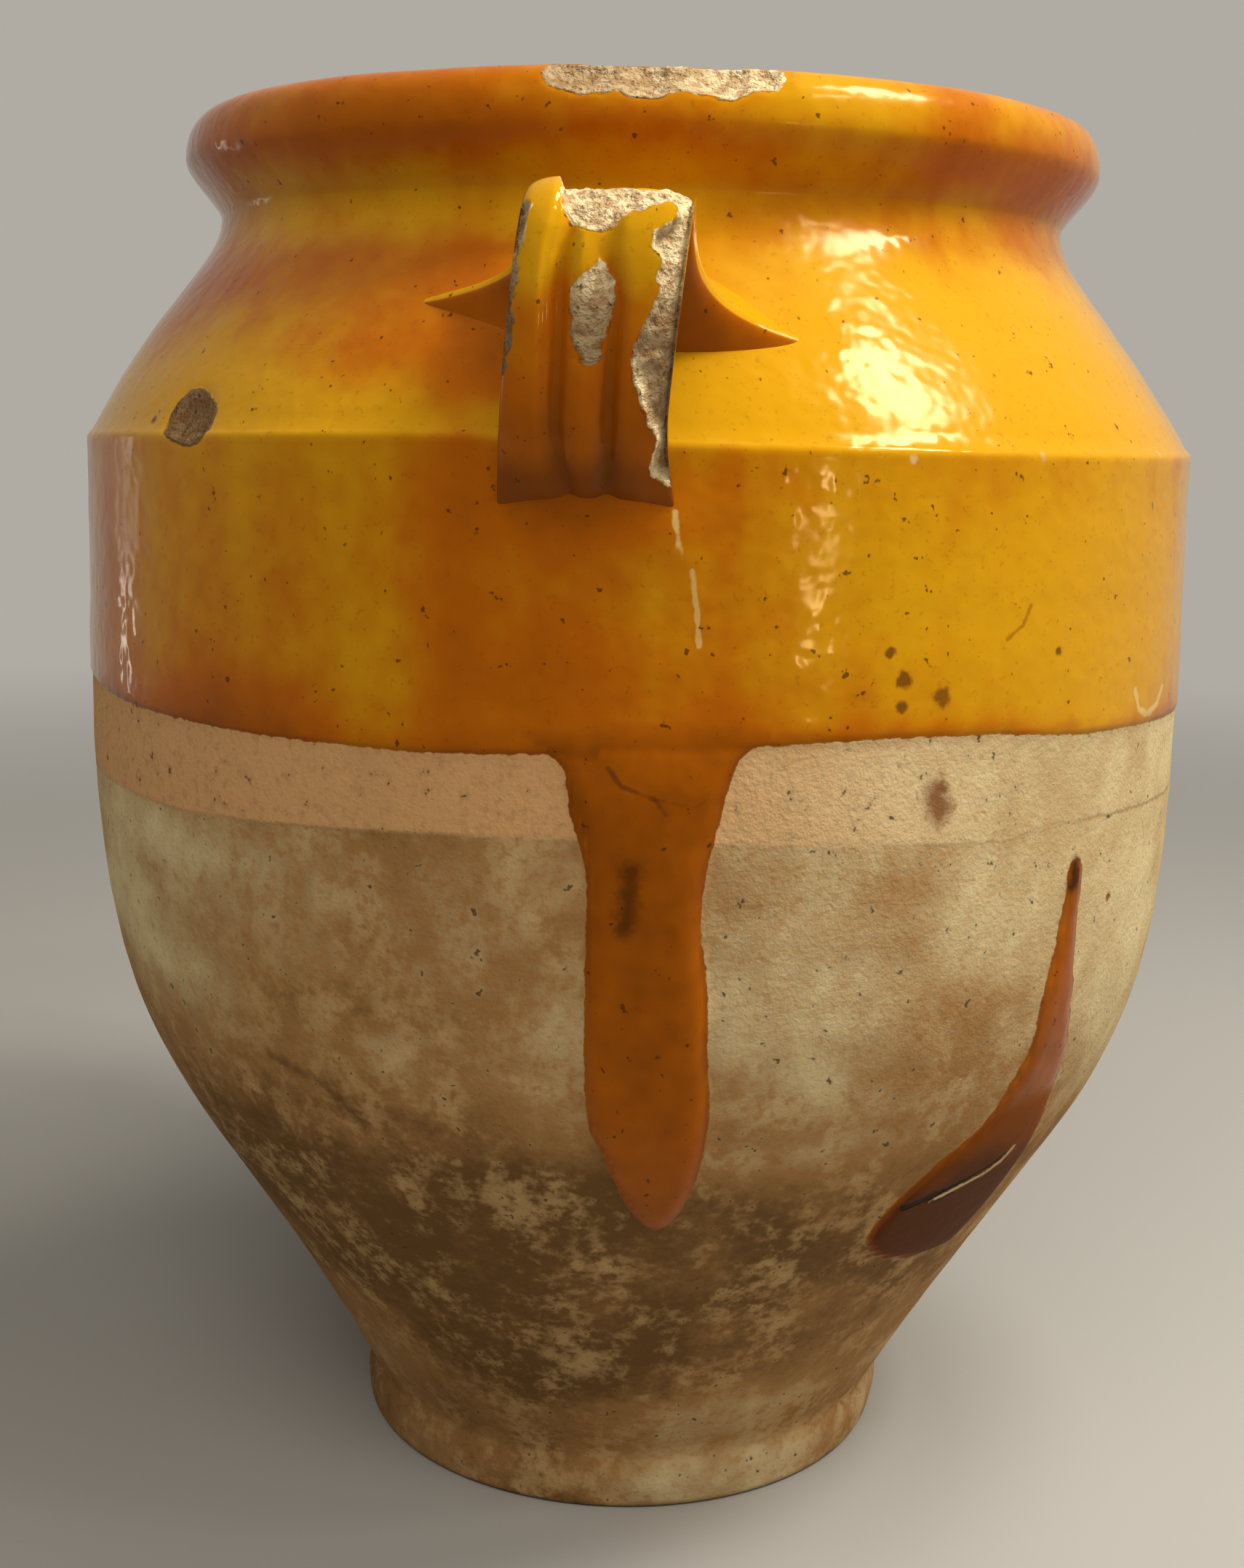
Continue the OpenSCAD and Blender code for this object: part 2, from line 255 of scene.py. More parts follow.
class Profile:
    """The section that the potter turned, from the middle of the underside to the middle of the floor.

    A pull is the length of a curve's handle, as a share of the height that the curve climbs.
    """

    lower_pull = 0.595
    belly_pull = 0.507
    shoulder_pull = 0.74
    neck_pull = 0.22
    closest = 0.05

    def __init__(self, sizes: PotSizes) -> None:
        """Works out the section and what is read from it.

        Args:
            sizes: The pot's driving sizes.
        """
        self.sizes = sizes
        outer = [self.foot(), self.lower_wall(), self.upper_wall(), self.shoulder(), self.lip()]
        self.wall = np.vstack(outer[1:4])
        outside, inner = np.vstack(outer), self.inside()
        self.points = np.vstack([outside, inner])
        keep = np.r_[True, np.linalg.norm(np.diff(self.points, axis=0), axis=1) > self.closest]
        self.points = self.points[keep]
        self.outer_rows = int(keep[: len(outside)].sum())
        along = np.gradient(self.points, axis=0)
        along /= np.linalg.norm(along, axis=1)[:, None]
        self.normals = np.stack([along[:, 1], -along[:, 0]], 1)

    def wall_r(self, z: Array | float) -> Array:
        """Outer radius of the clay wall at a height."""
        return np.interp(z, self.wall[:, 1], self.wall[:, 0])

    def inner_r(self, z: Array | float) -> Array:
        """Inner radius of the wall at a height, square to the wall's lean."""
        step = 4.0
        slope = (self.wall_r(z + step) - self.wall_r(z - step)) / (2 * step)
        return self.wall_r(z) - self.sizes.wall_t * np.sqrt(1 + slope**2)

    def middle_r(self, z: Array | float) -> Array:
        """Radius of the middle of the wall at a height."""
        return (self.wall_r(z) + self.inner_r(z)) / 2

    def foot(self) -> Array:
        """The flat underside, its worn edge and the ring up to its groove."""
        s = self.sizes
        r = s.foot_d / 2
        flat = np.stack([np.linspace(0, r - s.foot_round, 6), np.zeros(6)], 1)
        edge = bezier(
            [[r - s.foot_round, 0], [r - 0.3 * s.foot_round, 0], [r - 0.2 * s.foot_round, 0.5 * s.foot_round],
             [r - 0.2 * s.foot_round, s.foot_round]], 5)
        ring = bezier(
            [[r - 0.2 * s.foot_round, s.foot_round], [r + 0.3, 0.5 * s.foot_h], [r + 0.2, 0.8 * s.foot_h],
             [r - s.foot_groove, s.foot_h]], 8)
        return np.vstack([flat, edge, ring])

    def lower_wall(self) -> Array:
        """The conical wall, from over the foot to the widest place."""
        s = self.sizes
        r, rise, lean = s.foot_d / 2 - s.foot_groove, s.belly_z - s.foot_h, math.radians(s.lower_lean)
        pull = rise * self.lower_pull
        return bezier(
            [[r, s.foot_h], [r + pull * math.sin(lean), s.foot_h + pull * math.cos(lean)],
             [s.belly_d / 2, s.belly_z - rise * self.belly_pull], [s.belly_d / 2, s.belly_z]], 66)

    def upper_wall(self) -> Array:
        """The nearly upright wall, from the widest place to the shoulder corner."""
        s = self.sizes
        end = s.corner_z - s.corner_round
        return bezier(
            [[s.belly_d / 2, s.belly_z], [s.belly_d / 2, s.belly_z + s.belly_drop / 3],
             [s.corner_d / 2, end - s.belly_drop / 4], [s.corner_d / 2, end]], 42)

    def shoulder(self) -> Array:
        """The softened corner and the shoulder up to the neck."""
        s = self.sizes
        lean, r = math.radians(s.shoulder_lean), s.corner_d / 2
        end = s.corner_z - s.corner_round
        start = [r - s.corner_round * 2 * math.sin(lean), s.corner_z + s.corner_round * math.cos(lean)]
        rise = s.neck_z - start[1]
        pull = rise * self.shoulder_pull
        corner = bezier([[r, end], [r, s.corner_z], [r, s.corner_z], start], 4)
        slope = bezier(
            [start, [start[0] - pull * math.sin(lean), start[1] + pull * math.cos(lean)],
             [s.neck_d / 2, s.neck_z - rise * self.neck_pull], [s.neck_d / 2, s.neck_z]], 34)
        return np.vstack([corner, slope])

    def lip(self) -> Array:
        """The flaring lip, over its roll and back to the mouth."""
        s = self.sizes
        r, roll_z, top = s.lip_d / 2, s.clay_h - s.lip_roll, s.clay_h
        mouth = r - s.lip_w
        flare = bezier([[s.neck_d / 2, s.neck_z], [s.neck_d / 2, s.neck_z + s.lip_h / 9],
                        [r, roll_z - s.lip_h / 7], [r, roll_z]], 14)
        roll = bezier([[r, roll_z], [r, roll_z + s.lip_roll * 0.6], [r - s.lip_w * 0.2, top],
                       [r - s.lip_w * 0.5, top]], 12)
        over = bezier([[r - s.lip_w * 0.5, top], [r - s.lip_w * 0.8, top], [mouth, top - s.lip_roll * 0.25],
                       [mouth, top - s.lip_roll * 0.7]], 8)
        return np.vstack([flare, roll, over])

    def inside(self) -> Array:
        """The inner wall, from the mouth down to the middle of the floor."""
        s = self.sizes
        low = s.floor_t + s.floor_fillet
        z = np.linspace(s.neck_z, low, 30)
        r = self.inner_r(low)
        fillet = bezier([[r, low], [r - s.floor_fillet * 0.35, s.floor_t + s.floor_fillet * 0.3],
                         [r - s.floor_fillet * 0.6, s.floor_t], [r - s.floor_fillet * 1.2, s.floor_t]], 6)
        floor = np.stack([np.linspace(r - s.floor_fillet * 1.2, 0, 6), np.full(6, s.floor_t)], 1)
        return np.vstack([np.stack([self.inner_r(z), z], 1), fillet, floor])


class Board:
    """A node tree with short calls for its nodes and links."""

    def __init__(self, tree: bpy.types.NodeTree) -> None:
        """Takes the tree to build in."""
        self.tree = tree

    @classmethod
    def cleared(cls, owner: bpy.types.Material | bpy.types.World) -> "Board":
        """Starts afresh in the emptied tree of a material or a world."""
        owner.use_nodes = True
        owner.node_tree.nodes.clear()
        return cls(owner.node_tree)

    def end(self, kind: str, socket: Socket) -> None:
        """Adds the tree's output and links a socket into it."""
        self.tree.links.new(socket, self.node(kind).inputs[0])

    def feed(self, socket: Socket, value: object) -> None:
        """Links a socket into an input, or writes a value into it."""
        if isinstance(value, bpy.types.NodeSocket):
            self.tree.links.new(value, socket)
        else:
            socket.default_value = value

    def node(self, kind: str, inputs: Inputs | None = None, **settings: object) -> bpy.types.Node:
        """Adds a node.

        Args:
            kind: Blender's name for the node's type.
            inputs: Its inputs by name or number, each a value or a socket to link.
            **settings: The node's own settings.

        Returns:
            The new node.
        """
        made = self.tree.nodes.new(kind)
        for name, value in settings.items():
            setattr(made, name, value)
        for name, value in (inputs or {}).items():
            self.feed(made.inputs[name], value)
        return made

    def math(self, operation: str, a: object, b: object = 0.0, clamp: bool = False) -> Socket:
        """One sum on one or two numbers."""
        return self.node("ShaderNodeMath", {0: a, 1: b}, operation=operation, use_clamp=clamp).outputs[0]

    def plus(self, a: object, b: object) -> Socket:
        """Sum of two numbers."""
        return self.math("ADD", a, b)

    def minus(self, a: object, b: object) -> Socket:
        """The first number less the second."""
        return self.math("SUBTRACT", a, b)

    def times(self, a: object, b: object) -> Socket:
        """Product of two numbers."""
        return self.math("MULTIPLY", a, b)

    def vector(self, operation: str, a: object, b: object = (0.0, 0.0, 0.0), out: int = 0) -> Socket:
        """One sum on one or two vectors."""
        return self.node("ShaderNodeVectorMath", {0: a, 1: b}, operation=operation).outputs[out]

    def ramp(self, value: Socket, low: float, high: float, to_low: float = 0.0, to_high: float = 1.0) -> Socket:
        """Eases a value from one range to another, clamped.

        Args:
            value: The number to read.
            low: Where its range starts.
            high: Where its range ends.
            to_low: Result at the start.
            to_high: Result at the end.

        Returns:
            The eased number.
        """
        ends = {"Value": value, "From Min": low, "From Max": high, "To Min": to_low, "To Max": to_high}
        return self.node("ShaderNodeMapRange", ends, interpolation_type="SMOOTHSTEP").outputs["Result"]

    def mix(self, share: object, a: object, b: object) -> Socket:
        """Mixes two colours."""
        return self.node("ShaderNodeMix", {0: share, 6: a, 7: b}, data_type="RGBA").outputs[2]

    def blend(self, share: object, a: object, b: object) -> Socket:
        """Mixes two numbers."""
        return self.node("ShaderNodeMix", {0: share, 2: a, 3: b}, data_type="FLOAT").outputs[0]

    def noise(self, place: Socket, scale: float, detail: float, rough: float) -> Socket:
        """Soft noise of about 0 to 1; scale counts its lumps in a metre."""
        inputs = {"Vector": place, "Scale": scale, "Detail": detail, "Roughness": rough}
        return self.node("ShaderNodeTexNoise", inputs).outputs[0]

    def attribute(self, name: str) -> Socket:
        """A piece's own measure, as stored on its points."""
        return self.node("ShaderNodeAttribute", attribute_type="GEOMETRY", attribute_name=name).outputs["Fac"]


@dataclass(frozen=True)
class Mark:
    """A small mark on the wall: a line through one or more places, with its colour and its depth.

    The half width and the depth are in millimetres, and soft is the share of the half width that fades out.
    Lift is the thickness of the run or the smear that the mark lies on, in millimetres.
    """

    path: Places
    half_width: float
    colour: Colour
    strength: float = 0.9
    depth: float = 0.0
    soft: float = 0.4
    lift: float = 0.0


class WallPlaces:
    """Turns an azimuth and a height on the wall into a point in space.

    Above the glaze line a mark lies on glaze. The sway is the wall's lean to the right, by height.
    """

    glaze_line: float = 181.0
    sway: Places = (
        (0, 0), (12, 0.6), (50, 1.3), (120, 0.8), (170, 0), (232, 0), (255, -0.7), (282, -0.3), (300, 0))

    def __init__(self, profile: Profile) -> None:
        """Takes the section that the wall follows."""
        self.profile = profile

    def sideways(self, z: Array | float) -> Array:
        """How far the hand-thrown wall leans to the right at a height."""
        return np.interp(z, *np.transpose(self.sway))

    def point(self, azimuth: float, height: float, lift: float) -> tuple[float, float, float]:
        """The place on the outer wall.

        Args:
            azimuth: Its azimuth.
            height: Its height over the underside.
            lift: What it is raised by over the plain wall or its glaze.

        Returns:
            The place in metres.
        """
        glaze = self.profile.sizes.glaze_t if height > self.glaze_line else 0.0
        turn, r = math.radians(azimuth), float(self.profile.wall_r(height)) + glaze + lift
        x = r * math.sin(turn) + float(self.sideways(height))
        return (x * MM, -r * math.cos(turn) * MM, height * MM)


@dataclass(frozen=True)
class WallMarks:
    """The marks that use and the kiln have left on the wall, one shallow dent among them drawn as painted shade.
    """

    places: WallPlaces
    marks: tuple[Mark, ...] = (
        Mark(((54.8, 145.7),), 1.1, srgb(120, 66, 24)),
        Mark(((26.2, 193.4),), 1.5, srgb(92, 44, 8), 0.8),
        Mark(((30.1, 190.3),), 1.9, srgb(104, 56, 12), 0.8),
        Mark(((26.3, 188.9),), 1.2, srgb(92, 44, 8), 0.8),
        Mark(((24.9, 198.6),), 1.0, srgb(92, 44, 8), 0.8),
        Mark(((43.2, 197.2),), 0.9, srgb(84, 40, 8), 0.8),
        Mark(((30, 172.5), (30.4, 169.5)), 2.6, srgb(112, 56, 14), 0.85, 0.0, 0.8),
        Mark(((57.1, 186.9), (58.2, 183), (60.4, 181.4), (63, 182.8), (64.7, 186.1)), 0.7,
             srgb(206, 176, 108)),
        Mark(((39.5, 206), (38.6, 202.5), (36.8, 200)), 0.4, srgb(124, 62, 8), 0.5),
        # A shallow dent with no relief: its soft dark line is painted shade.
        Mark(((-33, 115), (-26.7, 111.6), (-22.7, 103.4)), 1.1, srgb(72, 46, 22), 0.45, 0.0, 1.0),
        Mark(((-46, 150), (-20, 146)), 0.35, srgb(96, 62, 32), 0.35),
        Mark(((35, 84.1), (39.5, 86.2)), 0.9, srgb(26, 18, 10), 0.97, 1.0, 0.3, 1.1),
        Mark(((39.5, 86.2), (48.1, 91.2)), 0.6, srgb(30, 20, 12), 0.95, 0.9, 0.4, 1.1),
        Mark(((39.2, 83.4), (42.2, 84.5)), 0.4, srgb(40, 26, 14), 0.9, 0.0, 0.4, 1.1),
        Mark(((38.6, 84), (42.2, 85.9), (45.9, 87.5)), 0.6, srgb(206, 178, 138), 0.95, -0.6, 0.4, 1.1),
        Mark(((45.9, 87.5), (48.1, 89.5), (49.2, 92.4)), 0.75, srgb(206, 168, 120), 0.9, -0.6, 0.4, 1.1),
        Mark(((47.6, 154.8), (47.4, 151)), 1.4, srgb(44, 18, 4), 0.9, 0.0, 0.9, 0.6),
        Mark(((6.4, 223), (6.8, 217), (7.9, 213)), 0.6, srgb(214, 176, 104), 0.9, 0.0, 0.4, 1.2),
        Mark(((7.9, 213), (8.4, 205.5), (8.6, 200)), 0.5, srgb(210, 168, 96), 0.8),
        Mark(((1.5, 178.5), (2.6, 175.4), (5.4, 173.2), (6.2, 170.5)), 0.45,
             srgb(70, 36, 10), 0.6, 0.0, 0.6, 1.0),
        Mark(((5.4, 173.2), (8.6, 171.9), (9.6, 173.5)), 0.4, srgb(70, 36, 10), 0.5, 0.0, 0.6, 1.0),
        Mark(((3.4, 160), (3, 150)), 1.7, srgb(64, 26, 4), 0.75, 0.0, 1.0, 1.3),
        Mark(((26.4, 232.4),), 1.0, srgb(206, 178, 124)),
        Mark(((40.2, 232.6),), 1.2, srgb(196, 164, 108)),
        Mark(((60.7, 232.5),), 0.9, srgb(206, 178, 124)),
        Mark(((-47, 236),), 1.3, srgb(60, 34, 12), 0.9),
    )

    def paint(self, board: Board, place: Socket, uneven: Socket, colour: Socket) -> Socket:
        """Colours the marks over what is there, each with an uneven edge.

        Args:
            board: The material's tree.
            place: Object coordinates.
            uneven: Fine noise, -0.5 to 0.5.
            colour: What is there.

        Returns:
            The colour with its marks.
        """
        for mark in self.marks:
            ragged = board.times(uneven, mark.half_width * MM * 2.0)
            gap = board.plus(self.distance(board, place, mark), ragged)
            colour = board.mix(self.cover(board, gap, mark, mark.strength), colour, mark.colour)
        return colour

    def relief(self, board: Board, place: Socket, height: Socket) -> Socket:
        """Digs the deep marks into the surface.

        Args:
            board: The material's tree.
            place: Object coordinates.
            height: The relief that is there, in millimetres.

        Returns:
            The relief with its marks.
        """
        for mark in self.marks:
            if mark.depth:
                cut = self.cover(board, self.distance(board, place, mark), mark, mark.depth)
                height = board.minus(height, cut)
        return height

    @staticmethod
    def cover(board: Board, gap: Socket, mark: Mark, full: float) -> Socket:
        """The full value on the mark's line, fading to 0 at its edge."""
        width = mark.half_width * MM
        return board.ramp(gap, width * (1 - mark.soft), width * (1 + mark.soft), full, 0.0)

    def distance(self, board: Board, place: Socket, mark: Mark) -> Socket:
        """Distance from the mark's line.

        Args:
            board: The material's tree.
            place: Object coordinates.
            mark: The mark.

        Returns:
            The distance in metres.
        """
        points = [self.places.point(*spot, mark.lift) for spot in mark.path]
        if len(points) == 1:
            return board.vector("DISTANCE", place, points[0], out=1)
        found = None
        for start, end in zip(points, points[1:]):
            way = Vector(end) - Vector(start)
            reach = board.vector("SUBTRACT", place, start)
            along = board.vector("DOT_PRODUCT", reach, tuple(way / way.length_squared), out=1)
            scaled = board.node("ShaderNodeVectorMath", {0: tuple(way)}, operation="SCALE")
            board.feed(scaled.inputs["Scale"], board.math("ADD", along, 0.0, clamp=True))
            gap = board.vector("DISTANCE", reach, scaled.outputs[0], out=1)
            found = gap if found is None else board.math("MINIMUM", found, gap)
        return found


@dataclass(frozen=True)
class AmberGlaze:
    """Glossy lead glaze: yellow where it is thin over pale clay, brown where it pools over rusty clay. The tone
    that it reads also holds painted light and shade.
    """

    yellow: Colour = srgb(204, 146, 12)
    amber: Colour = srgb(178, 92, 4)
    brown: Colour = srgb(122, 59, 1)
    burnt: Colour = srgb(78, 35, 1)
    sheen: Colour = srgb(255, 214, 140)
    roughness: float = 0.07
    dull: float = 0.2
    dead: float = 0.5

    def colour(self, board: Board, place: Socket, grain: Socket, tone: Socket) -> Socket:
        """Glaze colour over the whole piece.

        Args:
            board: The material's tree.
            place: Object coordinates.
            grain: The finest noise, 0 to 1.
            tone: About -2.5 for burnt glaze, -1 for brown, 0 for amber and 0.5 for yellow.

        Returns:
            The colour.
        """
        mottle = board.noise(place, 170.0, 1.0, 0.6)
        shift = board.plus(tone, board.times(board.minus(mottle, 0.5), 0.5))
        warm = board.mix(board.ramp(shift, -0.6, 0.4), self.amber, self.yellow)
        coloured = board.mix(board.ramp(shift, -1.6, -0.4), self.brown, warm)
        coloured = board.mix(board.ramp(shift, -2.6, -1.6), self.burnt, coloured)
        return board.mix(board.ramp(grain, 0.58, 0.74, 0.0, 0.25), coloured, self.brown)


@dataclass(frozen=True)
class BareClay:
    """Fired clay with no glaze: buff and pale, with the dirt of long use rubbed into it, and painted shade laid
    on as more of that dirt.
    """

    rosy: Colour = srgb(204, 156, 104)
    buff: Colour = srgb(191, 163, 116)
    cream: Colour = srgb(215, 195, 147)
    tan: Colour = srgb(160, 118, 70)
    soil_and_shade: Colour = srgb(98, 70, 38)
    ash: Colour = srgb(196, 162, 110)
    scored: Colour = srgb(96, 62, 32)
    roughness: float = 0.82

    def colour(self, board: Board, fine: Socket, grime_and_shade: Socket, rosy: Socket) -> Socket:
        """Clay colour with its dirt.

        Args:
            board: The material's tree.
            fine: Fine noise, -0.5 to 0.5.
            grime_and_shade: 0 for clean clay to 1 for the dirtiest; it also carries painted shade.
            rosy: 0 for cream clay to 1 for the rosy band under the glaze.

        Returns:
            The colour.
        """
        blotch = board.plus(board.attribute("blotch"), board.times(fine, 0.7))
        scuffs = board.plus(board.attribute("scuffs"), board.times(fine, 1.1))
        clean = board.mix(board.ramp(blotch, 0.25, 0.75), self.buff, self.cream)
        clean = board.mix(rosy, clean, self.rosy)
        uneven = board.times(board.minus(0.5, blotch), board.ramp(grime_and_shade, 0.1, 0.7, 0.35, 0.9))
        stain_and_shade = board.plus(grime_and_shade, uneven)
        dirty_and_shaded = board.mix(board.ramp(stain_and_shade, 0.0, 0.55), clean, self.tan)
        dirty_and_shaded = board.mix(board.ramp(stain_and_shade, 0.4, 1.15, 0.0, 0.95), dirty_and_shaded, self.soil_and_shade)
        bloom = board.times(board.ramp(scuffs, 0.45, 0.95), board.ramp(grime_and_shade, 0.1, 0.6, 0.0, 0.75))
        bloomed = board.mix(bloom, dirty_and_shaded, self.ash)
        return board.mix(board.ramp(fine, -0.05, 0.25, 0.0, 0.28), bloomed, self.soil_and_shade)


@dataclass(frozen=True)
class BrokenClay:
    """Clay laid bare by a break: pale, coarse and unglazed, with dirt in its hollows."""

    pale: Colour = srgb(232, 208, 160)
    grey: Colour = srgb(186, 154, 110)
    dirt_and_shade: Colour = srgb(108, 70, 36)
    pit: Colour = srgb(60, 42, 26)
    roughness: float = 0.95

    def colour(self, board: Board, fine: Socket, grain: Socket, grime_and_shade: Socket) -> Socket:
        """Colour of a broken face, with the dirt that has settled in it and painted shade laid on as more dirt.
        """
        pale = board.mix(board.ramp(fine, -0.12, 0.12), self.grey, self.pale)
        soiled = board.mix(board.math("MULTIPLY", grime_and_shade, 0.85, clamp=True), pale, self.dirt_and_shade)
        return board.mix(board.ramp(grain, 0.6, 0.72, 0.0, 0.75), soiled, self.pit)


class Face(Enum):
    """Which surface a material is for."""

    WALL = "wall"
    STRAP = "strap"


@dataclass(frozen=True)
class Coat:
    """What a material has built up so far: its colour, its roughness and its relief in millimetres."""

    colour: Socket
    rough: Socket
    height: Socket


@dataclass(frozen=True)
class PotFinish:
    """The whole finish of the pot: glaze, bare clay and broken clay, parted by the piece's own measures.

    The ripple of the glaze, the clay's grain and the coarse broken clay are relief in millimetres. A scale
    counts a noise's lumps in a metre.
    """

    glaze: AmberGlaze = AmberGlaze()
    clay: BareClay = BareClay()
    broken: BrokenClay = BrokenClay()
    speck: Colour = srgb(58, 26, 8)
    rim_line: Colour = srgb(92, 38, 4)
    ripple: float = 0.24
    grain: float = 0.3
    coarse: float = 1.1
    ripple_scale: float = 210.0
    fine_scale: float = 420.0
    grain_scale: float = 800.0
    refraction: float = 1.3

    def material(self, face: Face, places: WallPlaces) -> bpy.types.Material:
        """Builds the material for one surface.

        Args:
            face: The surface that it is for.
            places: Where marks on the wall lie.

        Returns:
            The material.
        """
        made = bpy.data.materials.new(f"earthenware_{face.value}")
        board = Board.cleared(made)
        place = board.node("ShaderNodeTexCoord").outputs["Object"]
        fine = board.minus(board.noise(place, self.fine_scale, 2.0, 0.65), 0.5)
        grain = board.noise(place, self.grain_scale, 2.0, 0.7)
        broken, grime_and_shade = board.attribute("broken"), board.attribute("grime_and_shade")
        coat = self.glazed(board, place, grain)
        if face is Face.WALL:
            coat = self.half_glazed(board, coat, fine, grain, grime_and_shade)
            marks = WallMarks(places)
            marked = marks.paint(board, place, fine, coat.colour)
            coat = Coat(marked, coat.rough, marks.relief(board, place, coat.height))
        colour = board.mix(board.ramp(fine, 0.185, 0.235, 0.0, 0.75), coat.colour, self.speck)
        bared = self.parted(board, broken, fine, 1.6, 0.12)
        colour = board.mix(bared, colour, self.broken.colour(board, fine, grain, grime_and_shade))
        rough = board.blend(bared, coat.rough, self.broken.roughness)
        height = board.blend(board.ramp(broken, -0.3, 0.5), coat.height, board.times(grain, self.coarse))
        bump = board.node("ShaderNodeBump", {"Strength": 1.0, "Distance": MM, "Height": height})
        shader = board.node(
            "ShaderNodeBsdfPrincipled",
            {"Base Color": colour, "Roughness": rough, "Normal": bump.outputs[0], "IOR": self.refraction,
             "Specular Tint": self.glaze.sheen},
        )
        board.end("ShaderNodeOutputMaterial", shader.outputs[0])
        return made

    def glazed(self, board: Board, place: Socket, grain: Socket) -> Coat:
        """The glaze, with a darker line along its edge.

        Args:
            board: The material's tree.
            place: Object coordinates.
            grain: The finest noise, 0 to 1.

        Returns:
            The coat of a place that is glazed all over.
        """
        colour = self.glaze.colour(board, place, grain, board.attribute("tone"))
        colour = board.mix(board.ramp(board.attribute("glaze"), 0.0, 1.6, 0.6, 0.0), colour, self.rim_line)
        gloss = board.attribute("gloss")
        rough = board.ramp(gloss, 0.1, 0.9, self.glaze.roughness, self.glaze.dull)
        rough = board.plus(rough, board.ramp(gloss, 1.2, 2.2, 0.0, self.glaze.dead))
        return Coat(colour, rough, board.times(board.noise(place, self.ripple_scale, 1.0, 0.6), self.ripple))

    def half_glazed(self, board: Board, coat: Coat, fine: Socket, grain: Socket, grime_and_shade: Socket) -> Coat:
        """Glaze above and bare clay below, with the clay's rosy band and turned line.

        Args:
            board: The material's tree.
            coat: The glaze.
            fine: Fine noise, -0.5 to 0.5.
            grain: The finest noise, 0 to 1.
            grime_and_shade: 0 for clean clay to 1 for the dirtiest; it also carries painted shade.

        Returns:
            The coat of the wall.
        """
        glaze = board.attribute("glaze")
        glazed = self.parted(board, glaze, fine, 1.2, 0.16)
        line = board.plus(board.attribute("line"), board.times(fine, 1.6))
        under = board.ramp(line, -0.7, 0.3, 1.0, 0.0)
        score = board.ramp(board.math("ABSOLUTE", line), 0.05, 0.7, 1.0, 0.0)
        rosy = board.times(board.attribute("rosy"), board.minus(1.0, under))
        dirt_and_shade = board.times(grime_and_shade, board.ramp(line, -0.7, 0.3, 1.0, 0.12))
        clay = self.clay.colour(board, fine, dirt_and_shade, rosy)
        worn = board.ramp(board.attribute("gloss"), 0.1, 0.8, 0.1, 0.42)
        clay = board.mix(board.times(score, worn), clay, self.clay.scored)
        return Coat(
            board.mix(glazed, clay, coat.colour),
            board.blend(glazed, self.clay.roughness, coat.rough),
            board.blend(board.ramp(glaze, -0.2, 0.5), board.times(grain, self.grain), coat.height),
        )

    @staticmethod
    def parted(board: Board, inside: Socket, ragged: Socket, wander: float, edge: float) -> Socket:
        """1 inside a boundary and 0 outside, with a ragged edge of some millimetres' wander."""
        return board.ramp(board.plus(inside, board.times(ragged, wander)), -edge, edge)


class PieceMaker:
    """Makes plain meshes from rings of points and writes measures on them."""

    @staticmethod
    def grid(name: str, rings: Array, caps: bool) -> bpy.types.Object:
        """Closed tube through rings of points.

        Args:
            name: The object's name.
            rings: Points in millimetres, by ring and by place on the ring.
            caps: Whether each end is closed by strips straight across its ring.

        Returns:
            The object, with its faces pointing outwards.
        """
        n, m, _ = rings.shape
        points = rings.reshape(-1, 3)
        i, j = np.meshgrid(np.arange(n - 1), np.arange(m), indexing="ij")
        a, b = i * m + j, i * m + (j + 1) % m
        faces = np.stack([a, b, b + m, a + m], -1).reshape(-1, 4).tolist()
        if caps:
            last = (n - 1) * m
            for k in range(m // 2):
                strip = list(dict.fromkeys([k, k + 1, (m - k - 1) % m, (m - k) % m]))
                faces.append(strip[::-1])
                faces.append([last + j for j in strip])
        mesh = bpy.data.meshes.new(name)
        mesh.from_pydata((points * MM).tolist(), [], faces)
        mesh.update()
        made = put_in_scene(name, mesh)
        PieceMaker.face_outwards(made)
        mesh.shade_smooth()
        return made

    @staticmethod
    def face_outwards(piece: bpy.types.Object) -> None:
        """Turns all faces round if the closed mesh is inside out.

        Args:
            piece: The object with the mesh.
        """
        points, mesh = PieceMaker.places(piece), piece.data
        mesh.calc_loop_triangles()
        corners = np.zeros(len(mesh.loop_triangles) * 3, int)
        mesh.loop_triangles.foreach_get("vertices", corners)
        a, b, c = (points[corners.reshape(-1, 3)[:, k]] for k in range(3))
        if (a * np.cross(b, c)).sum() < 0:
            mesh.flip_normals()

    @staticmethod
    def places(piece: bpy.types.Object) -> Array:
        """The piece's points, in millimetres."""
        found = np.zeros(len(piece.data.vertices) * 3)
        piece.data.vertices.foreach_get("co", found)
        return found.reshape(-1, 3) / MM

    @staticmethod
    def move(piece: bpy.types.Object, points: Array) -> None:
        """Writes the piece's points back, from millimetres."""
        piece.data.vertices.foreach_set("co", (points * MM).astype(np.float32).ravel())
        piece.data.update()

    @staticmethod
    def measure(piece: bpy.types.Object, name: str, values: Array) -> None:
        """Stores one number on each of the piece's points."""
        store = piece.data.attributes.get(name) or piece.data.attributes.new(name, "FLOAT", "POINT")
        store.data.foreach_set("value", np.asarray(values, np.float32))


